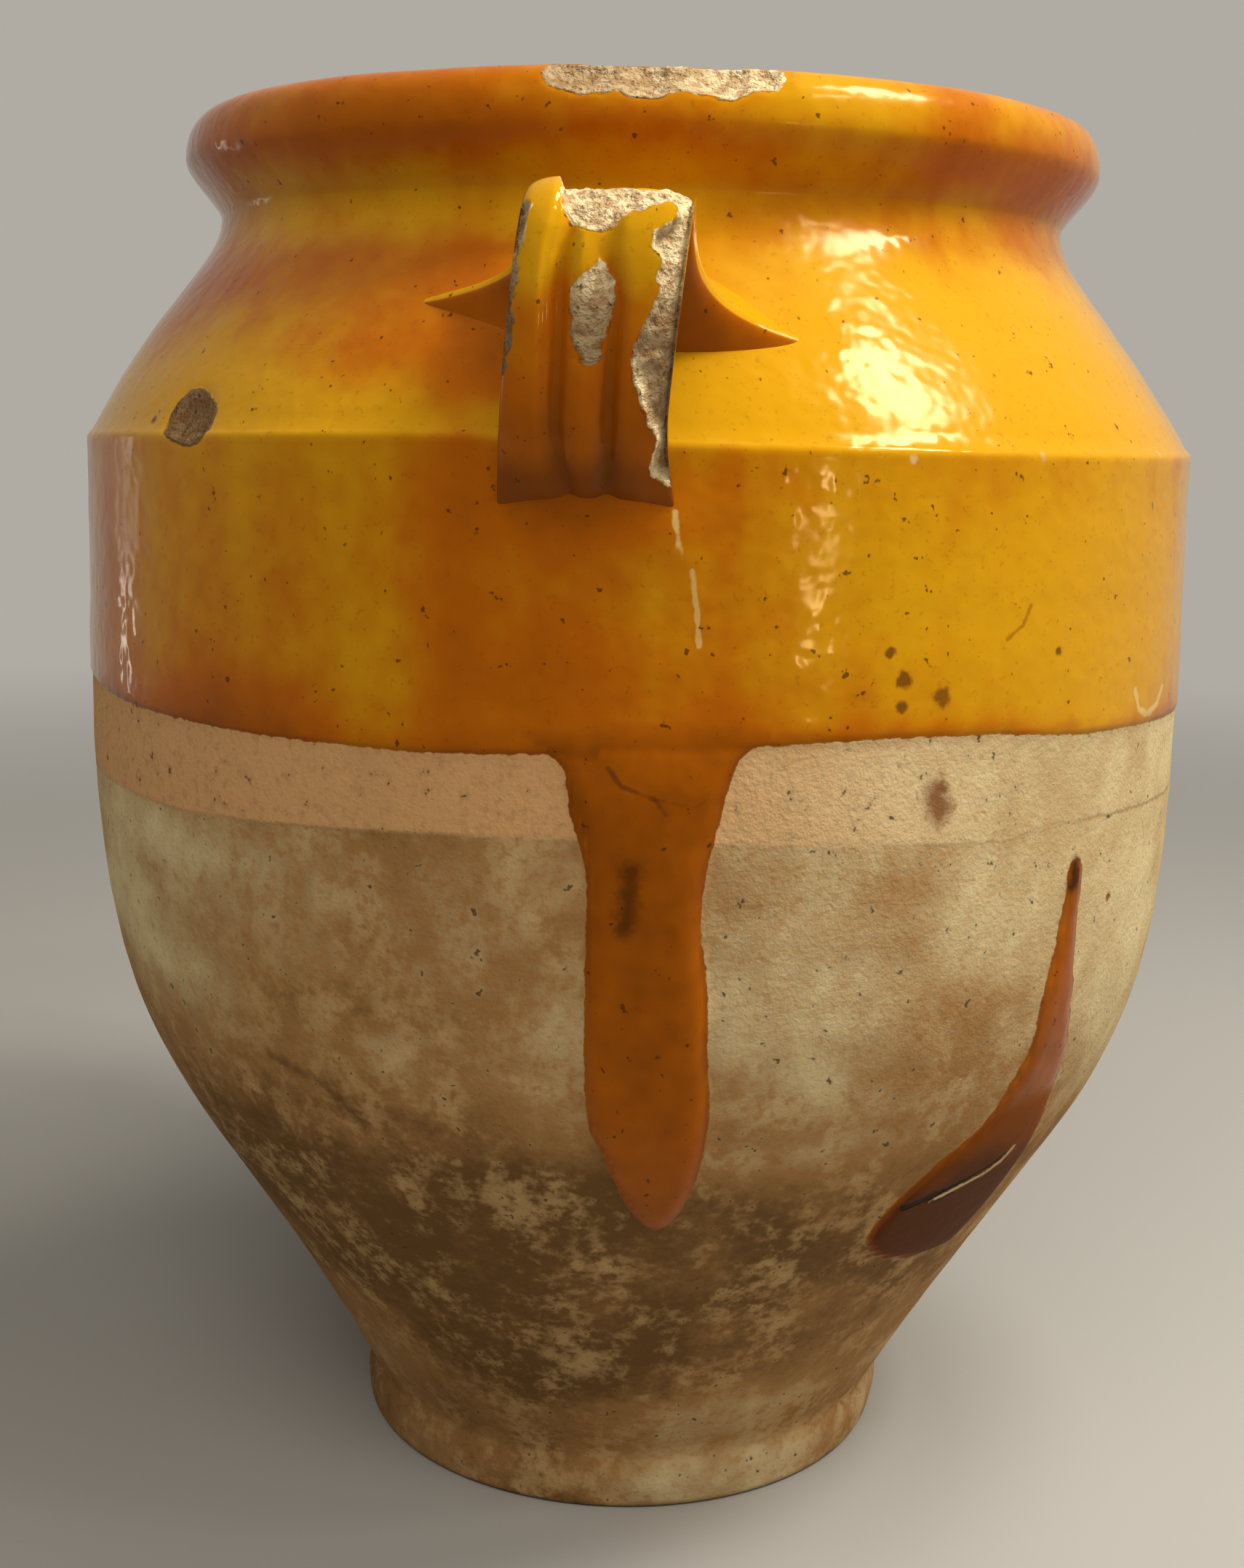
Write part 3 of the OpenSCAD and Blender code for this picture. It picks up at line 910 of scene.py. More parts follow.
class RevolveTree:
    """Geometry Nodes that turn a section into a closed wall with its throwing rings."""

    def __init__(self, name: str, rows: int) -> None:
        """Builds the tree.

        Args:
            name: The tree's name.
            rows: Number of points in the section.
        """
        self.tree = bpy.data.node_groups.new(name, "GeometryNodeTree")
        self.rows = rows
        face = self.tree.interface
        face.new_socket("Geometry", in_out="INPUT", socket_type="NodeSocketGeometry")
        for label, kind, value in (
            ("Columns", "NodeSocketInt", 380),
            ("Front share", "NodeSocketFloat", 0.0),
            ("Ring height", "NodeSocketFloat", 0.0),
            ("Ring spacing", "NodeSocketFloat", 100.0),
        ):
            face.new_socket(label, in_out="INPUT", socket_type=kind).default_value = value
        face.new_socket("Material", in_out="INPUT", socket_type="NodeSocketMaterial")
        face.new_socket("Geometry", in_out="OUTPUT", socket_type="NodeSocketGeometry")
        self.build(Board(self.tree))

    def build(self, board: Board) -> None:
        """Lays out the nodes: a grid, rolled round the axis by the section's own points.

        Args:
            board: The tree to build in.
        """
        given = board.node("NodeGroupInput").outputs
        columns = board.plus(given["Columns"], 1.0)
        grid = board.node("GeometryNodeMeshGrid", {"Vertices X": columns, "Vertices Y": self.rows})
        spot = board.node("ShaderNodeSeparateXYZ", {0: board.node("GeometryNodeInputPosition").outputs[0]})
        row = board.math("ROUND", board.times(board.plus(spot.outputs[1], 0.5), self.rows - 1.0))
        turn = board.times(spot.outputs[0], math.tau)
        bunch = board.times(board.math("SINE", turn), given["Front share"])
        turn = board.minus(turn, bunch)
        here = board.node("GeometryNodeInputPosition").outputs[0]
        section = board.node(
            "GeometryNodeSampleIndex", {"Geometry": given["Geometry"], "Value": here, "Index": row},
            data_type="FLOAT_VECTOR")
        at = board.node("ShaderNodeSeparateXYZ", {0: section.outputs[0]})
        east = board.times(at.outputs[0], board.math("SINE", turn))
        south = board.times(at.outputs[0], board.times(board.math("COSINE", turn), -1.0))
        rolled = board.node("ShaderNodeCombineXYZ", {0: east, 1: south, 2: at.outputs[2]}).outputs[0]
        kept = board.node(
            "GeometryNodeStoreNamedAttribute",
            {"Geometry": grid.outputs[0], "Name": "row", "Value": row}, data_type="FLOAT", domain="POINT")
        wall = board.node("GeometryNodeSetPosition", {"Geometry": kept.outputs[0], "Position": rolled})
        joined = board.node("GeometryNodeMergeByDistance", {"Geometry": wall.outputs[0], "Distance": 1e-6})
        ringed = self.rings(board, given, joined.outputs[0])
        real = board.node("GeometryNodeRealizeInstances", {0: ringed}).outputs[0]
        dressed = board.node("GeometryNodeSetMaterial", {"Geometry": real, "Material": given["Material"]})
        board.end("NodeGroupOutput", dressed.outputs[0])

    def rings(self, board: Board, given: bpy.types.bpy_prop_collection, wall: Socket) -> Socket:
        """Throwing rings: low ridges that circle the wall and fade in and out along their way.

        Args:
            board: The tree to build in.
            given: The tree's inputs.
            wall: The turned wall.

        Returns:
            The wall with its rings.
        """
        place = board.node("GeometryNodeInputPosition").outputs[0]
        spacing = board.node("ShaderNodeCombineXYZ", {0: 5.0, 1: 5.0, 2: given["Ring spacing"]})
        field_place = board.vector("MULTIPLY", place, spacing.outputs[0])
        height = board.minus(board.noise(field_place, 1.0, 1.0, 0.4), 0.5)
        height = board.times(height, given["Ring height"])
        flat = board.vector("NORMALIZE", board.vector("MULTIPLY", place, (1.0, 1.0, 0.0)))
        push = board.node("ShaderNodeVectorMath", {0: flat}, operation="SCALE")
        board.feed(push.inputs["Scale"], height)
        moved = board.node("GeometryNodeSetPosition", {"Geometry": wall, "Offset": push.outputs[0]})
        return moved.outputs[0]

    def apply(self, section: bpy.types.Object, values: dict[str, object]) -> bpy.types.Object:
        """Runs the tree on a section and keeps the result as a plain mesh.

        Args:
            section: Object whose points are the section.
            values: The tree's inputs by name.

        Returns:
            The same object with its new mesh and no modifier.
        """
        run = section.modifiers.new("turning", "NODES")
        run.node_group = self.tree
        for item in self.tree.interface.items_tree:
            if item.in_out == "INPUT" and item.name in values:
                run[item.identifier] = values[item.name]
        shape = section.evaluated_get(bpy.context.evaluated_depsgraph_get())
        mesh = bpy.data.meshes.new_from_object(shape)
        section.modifiers.clear()
        section.data = mesh
        return section


@dataclass(frozen=True)
class Patch:
    """A soft oval on the wall: its middle's azimuth and height, its half width in degrees and half height."""

    azimuth: float
    height: float
    half_width: float
    half_height: float
    strength: float

    def share(self, azimuth: Array, z: Array) -> Array:
        """Its strength at each place."""
        across, up = (azimuth - self.azimuth) / self.half_width, (z - self.height) / self.half_height
        return self.strength * np.exp(-(across**2) - up**2)


@dataclass(frozen=True)
class Belt:
    """A stretch of the wall that fades in from one height to another.

    Where they are given, it also fades in from one azimuth to another, and under a ceiling, a second pair of
    heights.
    """

    strength: float
    heights: tuple[float, float]
    azimuths: tuple[float, float] | None = None
    ceiling: tuple[float, float] | None = None

    def share(self, azimuth: Array, z: Array) -> Array:
        """Its strength at each place."""
        found = self.strength * fade(z, *self.heights)
        for value, ends in ((azimuth, self.azimuths), (z, self.ceiling)):
            found = found * fade(value, *ends) if ends else found
        return found


@dataclass(frozen=True)
class Readings:
    """Where each point of the wall lies, how far inside the glaze and its runs, and how far over the turned line.

    Outer says which points are on the outside. The others count as far inside the glaze.
    """

    azimuth: Array
    z: Array
    outer: Array
    over: Array
    long_run: Array
    side_run: Array
    line: Array


@dataclass
class TurnedWall:
    """The thrown body: its section, the glaze and its runs, the dirt with painted shade, and the breaks.

    A table of places holds azimuths and heights. Tone is the glaze's colour from burnt to yellow, as AmberGlaze
    reads it, and it also holds painted light and shade.
    """

    sizes: PotSizes
    profile: Profile
    finish: PotFinish
    columns: int = 376
    front_share: float = 0.5
    ring_height: float = 0.55
    ring_spacing: float = 95.0
    run_t: float = 0.9
    side_run_share: float = 0.7
    run_round: float = 3.2
    edge_round: float = 0.9
    glaze_edge: Places = (
        (-180, 181), (-140, 179), (-100, 182), (-66, 181.6), (-50, 180), (-34, 179.6), (-14, 179.5),
        (-3, 180.5), (12, 182.2), (25, 183.2), (36, 182.6), (46, 180.6), (73, 178.6), (110, 180),
        (150, 182.5), (180, 181))
    turned_line: Places = (
        (-180, 163), (-52, 162), (-42, 161.7), (-30, 163), (-19, 164.4), (-2, 165.8), (10, 165.2),
        (25, 163.7), (38, 162), (43, 164), (53, 163.2), (71, 161.8), (180, 163))
    corner_rise: Places = (
        (-180, 0), (-75, 0.6), (-34, 2.4), (-16, 3.4), (6, 2.6), (26, 2), (41, 1.6), (75, 0.6), (180, 0))
    corner_rise_h: float = 20.0
    long_run: Places = (
        (-5, 185), (-2.3, 178.5), (-1.6, 170), (-0.6, 163), (-0.2, 155.7), (-0.5, 137), (-0.5, 112.6),
        (0.9, 103.7), (3.2, 91.2), (6, 85), (8.4, 88), (10.1, 99.2), (10.6, 112.8), (10.1, 125.4),
        (10, 137.2), (9.3, 148.6), (9.6, 159.6), (10.6, 168.3), (12, 179.5), (14.5, 186))
    side_run: Places = (
        (47.8, 156.5), (46.7, 154.9), (46.6, 150.7), (46.2, 142.8), (45, 128.3), (45, 117.8), (43.5, 109.7),
        (41.6, 101.3), (37, 93.7), (33.5, 84.8), (32.6, 75.2), (37, 68.5), (44, 65.4), (51, 64.8),
        (54, 72.8), (54.7, 83.4), (54, 94.3), (52.6, 104.7), (52, 114.4), (50.3, 125.9), (49, 141.7),
        (49, 150.8), (48.8, 155))
    corner_chip: Places = (
        (-44, 234.4), (-42, 232.4), (-39.6, 231.6), (-37.4, 233.4), (-37.3, 238.6), (-39.4, 241.2),
        (-41.8, 242.4), (-44.2, 239.6))
    chip_depth: float = 1.3
    chip_grit: float = 2.5
    smear_t: float = 1.3
    smear_x: float = -2.5
    smear_z: float = 219.0
    smear_half_w: float = 19.0
    smear_half_h: float = 8.5
    ripple: float = 0.14
    ripple_l: float = 17.0
    lip_reach: float = 30.0
    rim_break_turn: float = 4.7
    rim_break_l: float = 33.0
    rim_break_h: float = 6.0
    rim_break_share: float = 0.62
    rim_grit: float = 3.0
    # Scars of the rim's break: place as a share of its length, radius, and how much shallower it is
    rim_scars: tuple[tuple[float, float, float], ...] = (
        (-0.46, 9, 1.6), (-0.31, 16, 0.3), (-0.08, 12, 0), (0.1, 18, 0.7), (0.36, 11, 0.1), (0.55, 8, 1.9))
    plain_tone: float = -0.1
    # The belts and patches mix the glaze's own tone with painted light and shade, as noted at each.
    painted_light_and_tone_belts: tuple[Belt, ...] = (
        # Lighter from the corner up: partly the glaze's tone, partly painted light on the upward face.
        Belt(0.6, (230.5, 232.5)),
        # Darker left shoulder: partly the glaze's tone, partly painted shade away from the lamps.
        Belt(-1.0, (235, 265), (32, -18)),
        # Darker neck and lip, with the next belt on the right: painted shade under the rolled lip, partly the
        # glaze's tone.
        Belt(-0.35, (265, 275)),
        Belt(-0.3, (257, 273), (10, 40)),
        # Lighter top of the lip: partly the glaze's tone, partly painted light on its upper face.
        Belt(0.35, (288, 296)),
        # Painted shadow of the front strap on the wall just under the corner, left of the strap.
        Belt(-0.08, (231.5, 227.5), (-8, -28)),
        # Painted light: the neck crease made lighter on the left and in the middle to offset its shade.
        Belt(0.9, (265, 275), (24, -6), (291, 281)),
        # Painted shade under the lip on the right.
        Belt(-0.25, (278, 288), (20, 40)),
    )
    painted_light_and_tone_patches: tuple[Patch, ...] = (
        # Yellower upper wall on the right: partly the glaze's tone, partly painted light on the lamps' side.
        Patch(48, 205, 24, 24, 0.75),
        Patch(-34, 184, 14, 7, -0.7),
        Patch(-2, 205, 14, 30, -0.3),
        # Painted shadow of the front strap on the shoulder, left of its upper root, in this patch and the next.
        Patch(-8, 246, 8, 12, -0.6),
        Patch(-20, 245, 14, 9, -0.65),
        Patch(-4, 192, 8, 16, -0.35),
        Patch(10, 187, 4, 7, -0.35),
        # Painted shade under the strap's lower root.
        Patch(-2, 221, 9, 7, -0.8),
    )
    edge_tone: float = -0.35
    run_tone: float = -0.95
    side_run_tone: float = -0.2
    side_end_tone: float = -1.3
    mouth_h: float = 12.0
    inside_tone: float = 0.15
    floor_tone: float = -0.5
    plain_gloss: float = 0.5
    side_end_gloss: float = 2.0
    plain_grime: float = 0.12
    # The left side's dirt and the grime patches low on the wall are partly painted shade.
    left_grime_and_shade: float = 0.56
    grime_and_shade_patches: tuple[Patch, ...] = (
        Patch(-12, 74, 30, 28, 0.45),
        Patch(20, 62, 60, 36, 0.55),
        Patch(-40, 60, 50, 40, 0.25),
        Patch(-2, 86, 14, 10, 0.3),
        Patch(27, 125, 22, 34, 0.26),
        Patch(48, 88, 34, 22, 0.25),
        Patch(50, 8, 60, 22, 0.3),
        Patch(-64, 145, 30, 44, -0.62),
        Patch(-50, 34, 30, 24, -0.45),
        Patch(-8, 112, 10, 12, -0.2),
        Patch(70, 150, 20, 40, -0.2),
        Patch(-10, 6, 50, 7, -0.3),
        Patch(-40.5, 237, 6, 9, 0.9),
    )
    grit: Grit = field(default_factory=lambda: Grit(11))

    def build(self, places: WallPlaces) -> bpy.types.Object:
        """Makes the wall's mesh, its relief and its measures.

        Args:
            places: Where marks on the wall lie.

        Returns:
            The finished piece.
        """
        material = self.finish.material(Face.WALL, places)
        section = self.section()
        tree = RevolveTree("turned_wall", len(self.profile.points))
        values = {
            "Columns": self.columns,
            "Front share": self.front_share,
            "Ring height": self.ring_height * MM,
            "Ring spacing": self.ring_spacing,
            "Material": material,
        }
        piece = tree.apply(section, values)
        piece.data.shade_smooth()
        self.shape(piece, places)
        PieceMaker.face_outwards(piece)
        return piece

    def section(self) -> bpy.types.Object:
        """The section as a line of points in the plane of radius and height."""
        points = [(r * MM, 0.0, z * MM) for r, z in self.profile.points]
        mesh = bpy.data.meshes.new("pot_wall")
        mesh.from_pydata(points, [(k, k + 1) for k in range(len(points) - 1)], [])
        return put_in_scene("pot_wall", mesh)

    def shape(self, piece: bpy.types.Object, places: WallPlaces) -> None:
        """Adds relief to the plain turned wall and stores what its material reads.

        Args:
            piece: The wall.
            places: Where marks on the wall lie.
        """
        points = PieceMaker.places(piece)
        row = np.zeros(len(points), np.float32)
        piece.data.attributes["row"].data.foreach_get("value", row)
        row = np.rint(row).astype(int)
        outer = row < self.profile.outer_rows
        azimuth = np.degrees(np.arctan2(points[:, 0], -points[:, 1]))
        z, r = points[:, 2].copy(), self.profile.wall_r(points[:, 2])
        edge = np.interp(azimuth, *np.transpose(self.glaze_edge))
        over = np.where(outer, z - edge, FAR)

        long_run = self.across(self.long_run, azimuth, z, r, outer)
        side_run = self.across(self.side_run, azimuth, z, r, outer)
        glaze = np.maximum(over, np.maximum(long_run, side_run))
        thick = self.sizes.glaze_t * smooth(glaze / self.edge_round)
        thick += self.run_t * smooth(long_run / self.run_round) * fade(z - edge, 4, -10)
        thick += self.side_run_share * self.run_t * smooth(side_run / self.run_round)
        line = z - np.interp(azimuth, *np.transpose(self.turned_line))

        turn = np.radians(azimuth)
        aside = (r * np.sin(turn) - self.smear_x) / self.smear_half_w
        up = (z - self.smear_z) / self.smear_half_h
        thick += np.where(outer & (np.cos(turn) > 0), self.smear_t * np.exp(-(aside**6) - up**2), 0)
        thick += self.ripple * self.grit.layer(points + 70, self.ripple_l) * smooth(glaze / 4)
        normal = self.profile.normals[row]
        out = np.stack([normal[:, 0] * np.sin(turn), -normal[:, 0] * np.cos(turn), normal[:, 1]], 1)
        points += out * np.where(outer, thick, 0)[:, None]
        rise = np.interp(azimuth, *np.transpose(self.corner_rise))
        points[:, 2] += np.where(outer, rise * hump(z - self.sizes.corner_z, self.corner_rise_h), 0)

        chip = self.across(self.corner_chip, azimuth, points[:, 2], r, outer)
        rough = 0.5 * self.grit.rough(points, self.chip_grit)
        points -= out * (smooth(chip / self.chip_grit) * (self.chip_depth + rough))[:, None]
        broken = np.maximum(chip, self.break_rim(points, z > self.sizes.height - self.lip_reach))
        points[:, 0] += places.sideways(z)

        PieceMaker.move(piece, points)
        PieceMaker.measure(piece, "glaze", np.clip(glaze, -FAR, FAR))
        PieceMaker.measure(piece, "broken", np.clip(broken, -FAR, FAR))
        self.paint(piece, Readings(azimuth, z, outer, over, long_run, side_run, line))

    def across(self, corners: Places, azimuth: Array, z: Array, r: Array, outer: Array) -> Array:
        """How far each point lies inside an outline drawn on the wall.

        Args:
            corners: The outline's corners.
            azimuth: The points' azimuths.
            z: Their heights.
            r: The clay's radius at those heights.
            outer: Which of them are on the outside.

        Returns:
            The distance in millimetres, negative outside the outline.
        """
        outline = rounded(corners)
        middle, height = outline.mean(0)
        along = np.radians(outline[:, 0] - middle) * self.profile.wall_r(outline[:, 1])
        flat = np.stack([along, outline[:, 1]], 1)
        found = np.full(len(z), -FAR)
        near = outer & (np.abs(azimuth - middle) < 40) & (np.abs(z - height) < 90)
        spot = np.stack([np.radians(azimuth[near] - middle) * r[near], z[near]], 1)
        found[near] = distance_inside(spot, flat)
        return found

    def break_rim(self, points: Array, lip: Array) -> Array:
        """Breaks shell-shaped scars out of the lip, and says how deep each point lies in them.

        Args:
            points: The wall's points, moved in place.
            lip: Which of them are on the lip.

        Returns:
            The depth in millimetres, negative outside the scars.
        """
        s, high, wide = self.sizes, self.rim_break_h, self.rim_break_share * self.sizes.lip_w
        chord = math.hypot(wide, high)
        middle = np.array([s.lip_d / 2 + s.glaze_t - wide / 2, s.height - high / 2])
        deepest = np.full(len(points), -FAR)
        for place, radius, shallower in self.rim_scars:
            sag = radius - math.sqrt(radius**2 - chord**2 / 4)
            centre = middle + (radius - 1.5 * sag + shallower) * np.array([high, wide]) / chord
            angle = math.radians(self.rim_break_turn) + self.rim_break_l / (s.lip_d / 2) * place
            centre = np.array([centre[0] * math.sin(angle), -centre[0] * math.cos(angle), centre[1]])
            reach = points - centre
            gap = np.linalg.norm(reach, axis=1)
            cut = radius + 0.45 * self.grit.rough(points, self.rim_grit) * (np.abs(gap - radius) < 6)
            inside = cut - gap
            deepest = np.maximum(deepest, np.where(lip, inside, -FAR))
            taken = lip & (inside > 0)
            points[taken] = centre + reach[taken] / gap[taken, None] * cut[taken, None]
        return deepest

    def paint(self, piece: bpy.types.Object, at: Readings) -> None:
        """Stores the glaze's tone and gloss, the dirt on the clay with painted shade mixed in on its left and low
        down, and its rosy band.

        Args:
            piece: The wall.
            at: What its points read.
        """
        side = np.where(np.abs(at.azimuth) > 90, np.sign(at.azimuth) * 180 - at.azimuth, at.azimuth)
        points, rough = PieceMaker.places(piece), self.grit.rough
        fine = rough(points + 110, 4.0, 2)
        slant = points @ np.array([[1.0, 0, 0.35], [0, 1, 0], [0, 0, 0.55]])
        gloss = self.plain_gloss + 0.6 * rough(points + 90, 26.0, 2)
        gloss += self.side_end_gloss * fade(at.side_run, -0.5, 0.5) * fade(at.z, 118, 92)
        # Dirt, with painted shade mixed in: darker on the left side and in the low patches.
        grime_and_shade = self.plain_grime + self.left_grime_and_shade * fade(side, 20.4, -13.6)
        grime_and_shade += sum(patch.share(at.azimuth, at.z) for patch in self.grime_and_shade_patches)
        grime_and_shade += 0.16 * rough(points + 50, 60.0) + 0.14 * rough(points * (1, 1, 5), 46.0)
        measures = {
            "tone": self.tone(at, side, points),
            "gloss": gloss,
            "line": np.where(at.outer, np.clip(at.line, -FAR, FAR), FAR),
            "grime_and_shade": np.clip(grime_and_shade, 0, 1),
            "blotch": 0.5 + 0.2 * rough(points + 130, 19.0) + 0.12 * fine,
            "scuffs": 0.5 + 0.22 * rough(slant + 170, 9.0) + 0.2 * fine,
            "rosy": fade(at.line, -6, -2) * fade(side, 46, -4),
        }
        for name, values in measures.items():
            PieceMaker.measure(piece, name, values)

    def tone(self, at: Readings, side: Array, points: Array) -> Array:
        """The glaze's tone: yellow where it is thin, brown at its edge and in its runs, with painted light and
        shade from the belts and patches, and one tone inside.

        Args:
            at: What the wall's points read.
            side: Their azimuths, with the back folded on to the front.
            points: The points.

        Returns:
            The tone of each point.
        """
        found = self.plain_tone + sum(belt.share(side, at.z) for belt in self.painted_light_and_tone_belts)
        found += sum(patch.share(at.azimuth, at.z) for patch in self.painted_light_and_tone_patches)
        found += self.edge_tone * fade(at.over, 6, 0) * (at.over > 0)
        found += self.run_tone * fade(np.maximum(at.long_run, at.side_run), 0, 0.8) * fade(at.over, 10, -10)
        found += fade(at.side_run, 0, 1.5) * (self.side_run_tone + self.side_end_tone * fade(at.z, 108, 82))
        found += 0.15 * self.grit.rough(points, 42.0) + 0.22 * self.grit.rough(points * (1, 1, 0.12), 13.0)
        inside = self.inside_tone + self.floor_tone * fade(at.z, 60, 0)
        inside += 0.2 * self.grit.rough(points + 30, 34.0)
        return np.where(at.outer | (at.z > self.sizes.height - self.mouth_h), found, inside)


class Condition(Enum):
    """How a strap has come through its years of use."""

    WORN = "worn"
    WHOLE = "whole"


@dataclass
class Strap:
    """A ribbed strap handle, lofted from its root in the shoulder to its root below the corner.

    The outlines of the bare patches are drawn on the flattened strap: across it from its middle, and along its
    outer face from the upper root. A groove's places are turned round: along the strap, then across it.
    """

    sizes: PotSizes
    profile: Profile
    finish: PotFinish
    condition: Condition
    width: float = 28.0
    thick: float = 9.0
    reach: float = 16.0
    rise: float = 47.0
    upper_middle: float = 26.0
    upper_root: float = 15.0
    upper_root_w: float = 152.0
    upper_root_top: float = 19.5
    upper_root_under: float = 3.5
    upper_root_tilt: float = 8.5
    thin_left: float = 0.3
    flare_curve: float = 3.4
    flare_depth: float = 1.3
    flare_point: float = 3.0
    lower_root: float = 16.0
    lower_root_w: float = 34.0
    lower_root_half: float = 7.5
    root_point: float = 1.2
    groove_depth: float = 2.2
    groove_w: float = 1.7
    lean: float = 5.0
    arms: tuple[int, int] = (14, 12)
    finer: int = 9
    around: int = 260
    bare_edge: Places = (
        (-8, 30), (-7.7, 40.4), (-7.1, 44.4), (-5.2, 46.8), (-3.1, 49.2), (-0.3, 49.8), (1.4, 49.8),
        (2.3, 48.6), (4.1, 46.8), (6.3, 46.2), (8.3, 45), (10.4, 44.4), (11.7, 45.6), (11.5, 47.4),
        (9.3, 49.2), (8, 51.1), (9, 53.1), (10.1, 54.6), (9.9, 56.8), (10.6, 58.9), (10, 60.7), (8.7, 65.1),
        (7.4, 67.1), (7.2, 69.6), (7.8, 72.9), (8.9, 75.2), (9.9, 78.3), (11.3, 81.4), (12.5, 83.6),
        (11.6, 86.2), (11.5, 88.4), (13.5, 89.3), (14.1, 90.7), (15.4, 94.9), (19, 96), (22, 64), (20, 34),
        (14, 28))
    bare_middle: Places = (
        (1, 53.1), (-1.3, 56), (-3.3, 58.3), (-3.6, 61.3), (-3.1, 65.1), (-2.2, 67.6), (-1.3, 69.6),
        (-0.9, 71.5), (1.7, 70.6), (2.5, 67.1), (2.6, 64.5), (3.1, 61.3), (2.7, 57.6), (1.7, 55.3))
    bare_side: Places = (
        (-17, 43), (-12.6, 44), (-12.2, 47.6), (-12.5, 51), (-12.9, 54), (-12.5, 58), (-13, 62), (-12.4, 66),
        (-13, 70.5), (-13.8, 74), (-17, 74))
    first_groove: Places = (
        (40, -5.2), (48.6, -5.2), (52.5, -5.8), (57.6, -5.8), (69.6, -4.9), (83.6, -4.3), (96, -3.6))
    second_groove: Places = ((40, 0.6), (50, 0.8), (53.1, 1), (57.6, 2.7), (61.3, 3.5), (73.9, 4.1), (96, 5))
    faint_line: float = 2.4
    faint_depth: float = 0.35
    faint_w: float = 0.7
    worn_top: float = 2.3
    worn_side: float = 0.8
    worn_edge: float = 1.5
    grit: Grit = field(default_factory=lambda: Grit(23))

    def build(self, places: WallPlaces) -> bpy.types.Object:
        """Makes the strap's mesh and its measures.

        Args:
            places: Where marks on the wall lie.

        Returns:
            The finished piece.
        """
        middle, normal, ring = self.middle_line()
        angle = np.linspace(0, 2 * np.pi, self.around, endpoint=False)
        across = self.width / 2 * signed_power(np.cos(angle), 0.5)
        face = signed_power(np.sin(angle), 0.6)
        upper = smooth(1 - ring / (self.arms[0] * 0.72)) ** 1.35
        lower = smooth(1 - (sum(self.arms) - ring) / (self.arms[1] * 0.62)) ** 1.6
        free = 1 - np.maximum(upper, lower)
        outline = middle + normal * self.thick / 2
        along = np.r_[0, np.cumsum(np.linalg.norm(np.diff(outline, axis=0), axis=1))]

        x, s = np.broadcast_to(across, (len(ring), self.around)), np.repeat(along[:, None], self.around, 1)
        front = np.repeat(np.sin(angle)[None], len(ring), 0)
        bare = self.bare(x, s, front)
        cut = self.lost(x, s, bare, self.ribs(x, s) * free[:, None])
        high = self.thick / 2 * face[None] - np.where(front > 0, cut * smooth(3 * front), 0)
        at = middle[:, None] + high[..., None] * normal[:, None]
        corner = self.sizes.corner_z
        side = x + self.lean * ((at[..., 1] - corner) / self.rise - 0.45)
        strap = np.stack([side, -at[..., 0], at[..., 1]], -1)
        tilted = corner + self.upper_root + self.upper_root_tilt * smooth(-np.cos(angle))
        arch = self.upper_root_top * (1 - self.thin_left * smooth(-2 * np.cos(angle)))
        top = self.root(angle, self.upper_root_w, arch, self.upper_root_under, tilted, self.flare_point)
        half, low = self.lower_root_half, corner - self.lower_root
        foot = self.root(angle, self.lower_root_w, half, half, low, self.root_point)
        strap = self.towards(strap, top, upper, self.flare_curve, self.flare_depth)
        strap = self.towards(strap, foot, lower, 1.0, 1.0)
        name = "front_strap"
        if self.condition is Condition.WHOLE:
            strap = strap * np.array([-1, -1, 1])
            name = "back_strap"
        piece = PieceMaker.grid(name, strap, caps=True)
        piece.data.materials.append(self.finish.material(Face.STRAP, places))
        self.paint(piece, bare, s, x, front)
        return piece

    @staticmethod
    def towards(strap: Array, root: Array, hold: Array, curve: float, depth: float) -> Array:
        """Draws rings towards a root round the wall: by their turn, distance from the axis and height.

        Args:
            strap: The rings' points.
            root: The root's outline.
            hold: How far each ring has turned into the root, 0 to 1.
            curve: How late the clay spreads to the sides.
            depth: How late it turns in towards the wall.

        Returns:
            The moved points.
        """
        start, end = (
            np.stack([np.arctan2(p[..., 0], -p[..., 1]), np.hypot(p[..., 0], p[..., 1]), p[..., 2]], -1)
            for p in (strap, root))
        found = start + np.stack([hold**curve, hold**depth, hold], -1)[:, None] * (end - start)
        turn, far = found[..., 0], found[..., 1]
        return np.stack([far * np.sin(turn), -far * np.cos(turn), found[..., 2]], -1)

    def middle_line(self) -> tuple[Array, Array, Array]:
        """The strap's middle line, its outward normals and the ring number of each point."""
        corner, half = self.sizes.corner_z, self.thick / 2
        out_r = self.sizes.corner_d / 2 + self.reach - half
        out_z, top_z = corner + 0.6 * self.rise, corner + self.rise - half
        z = corner + self.upper_middle
        start = [self.profile.wall_r(z) - self.sizes.wall_t / 2, z]
        over = top_z + (top_z - out_z) * 0.72
        first = bezier(
            [start, [start[0] + self.reach * 0.85, z + (top_z - z) * 0.78], [out_r, over], [out_r, out_z]],
            self.arms[0] * self.finer)
        z = corner - self.lower_root
        end = [self.profile.wall_r(z) - self.sizes.wall_t / 2, z]
        below = [end[0] + self.reach * 0.5, z + self.rise * 0.42]
        second = bezier([[out_r, out_z], [out_r, out_z - self.rise * 0.4], below, end], self.arms[1] * self.finer)
        line = np.vstack([first, second[1:]])
        way = np.gradient(line, axis=0)
        way /= np.linalg.norm(way, axis=1)[:, None]
        ring = np.arange(len(line)) / self.finer
        return line, np.stack([-way[:, 1], way[:, 0]], 1), ring

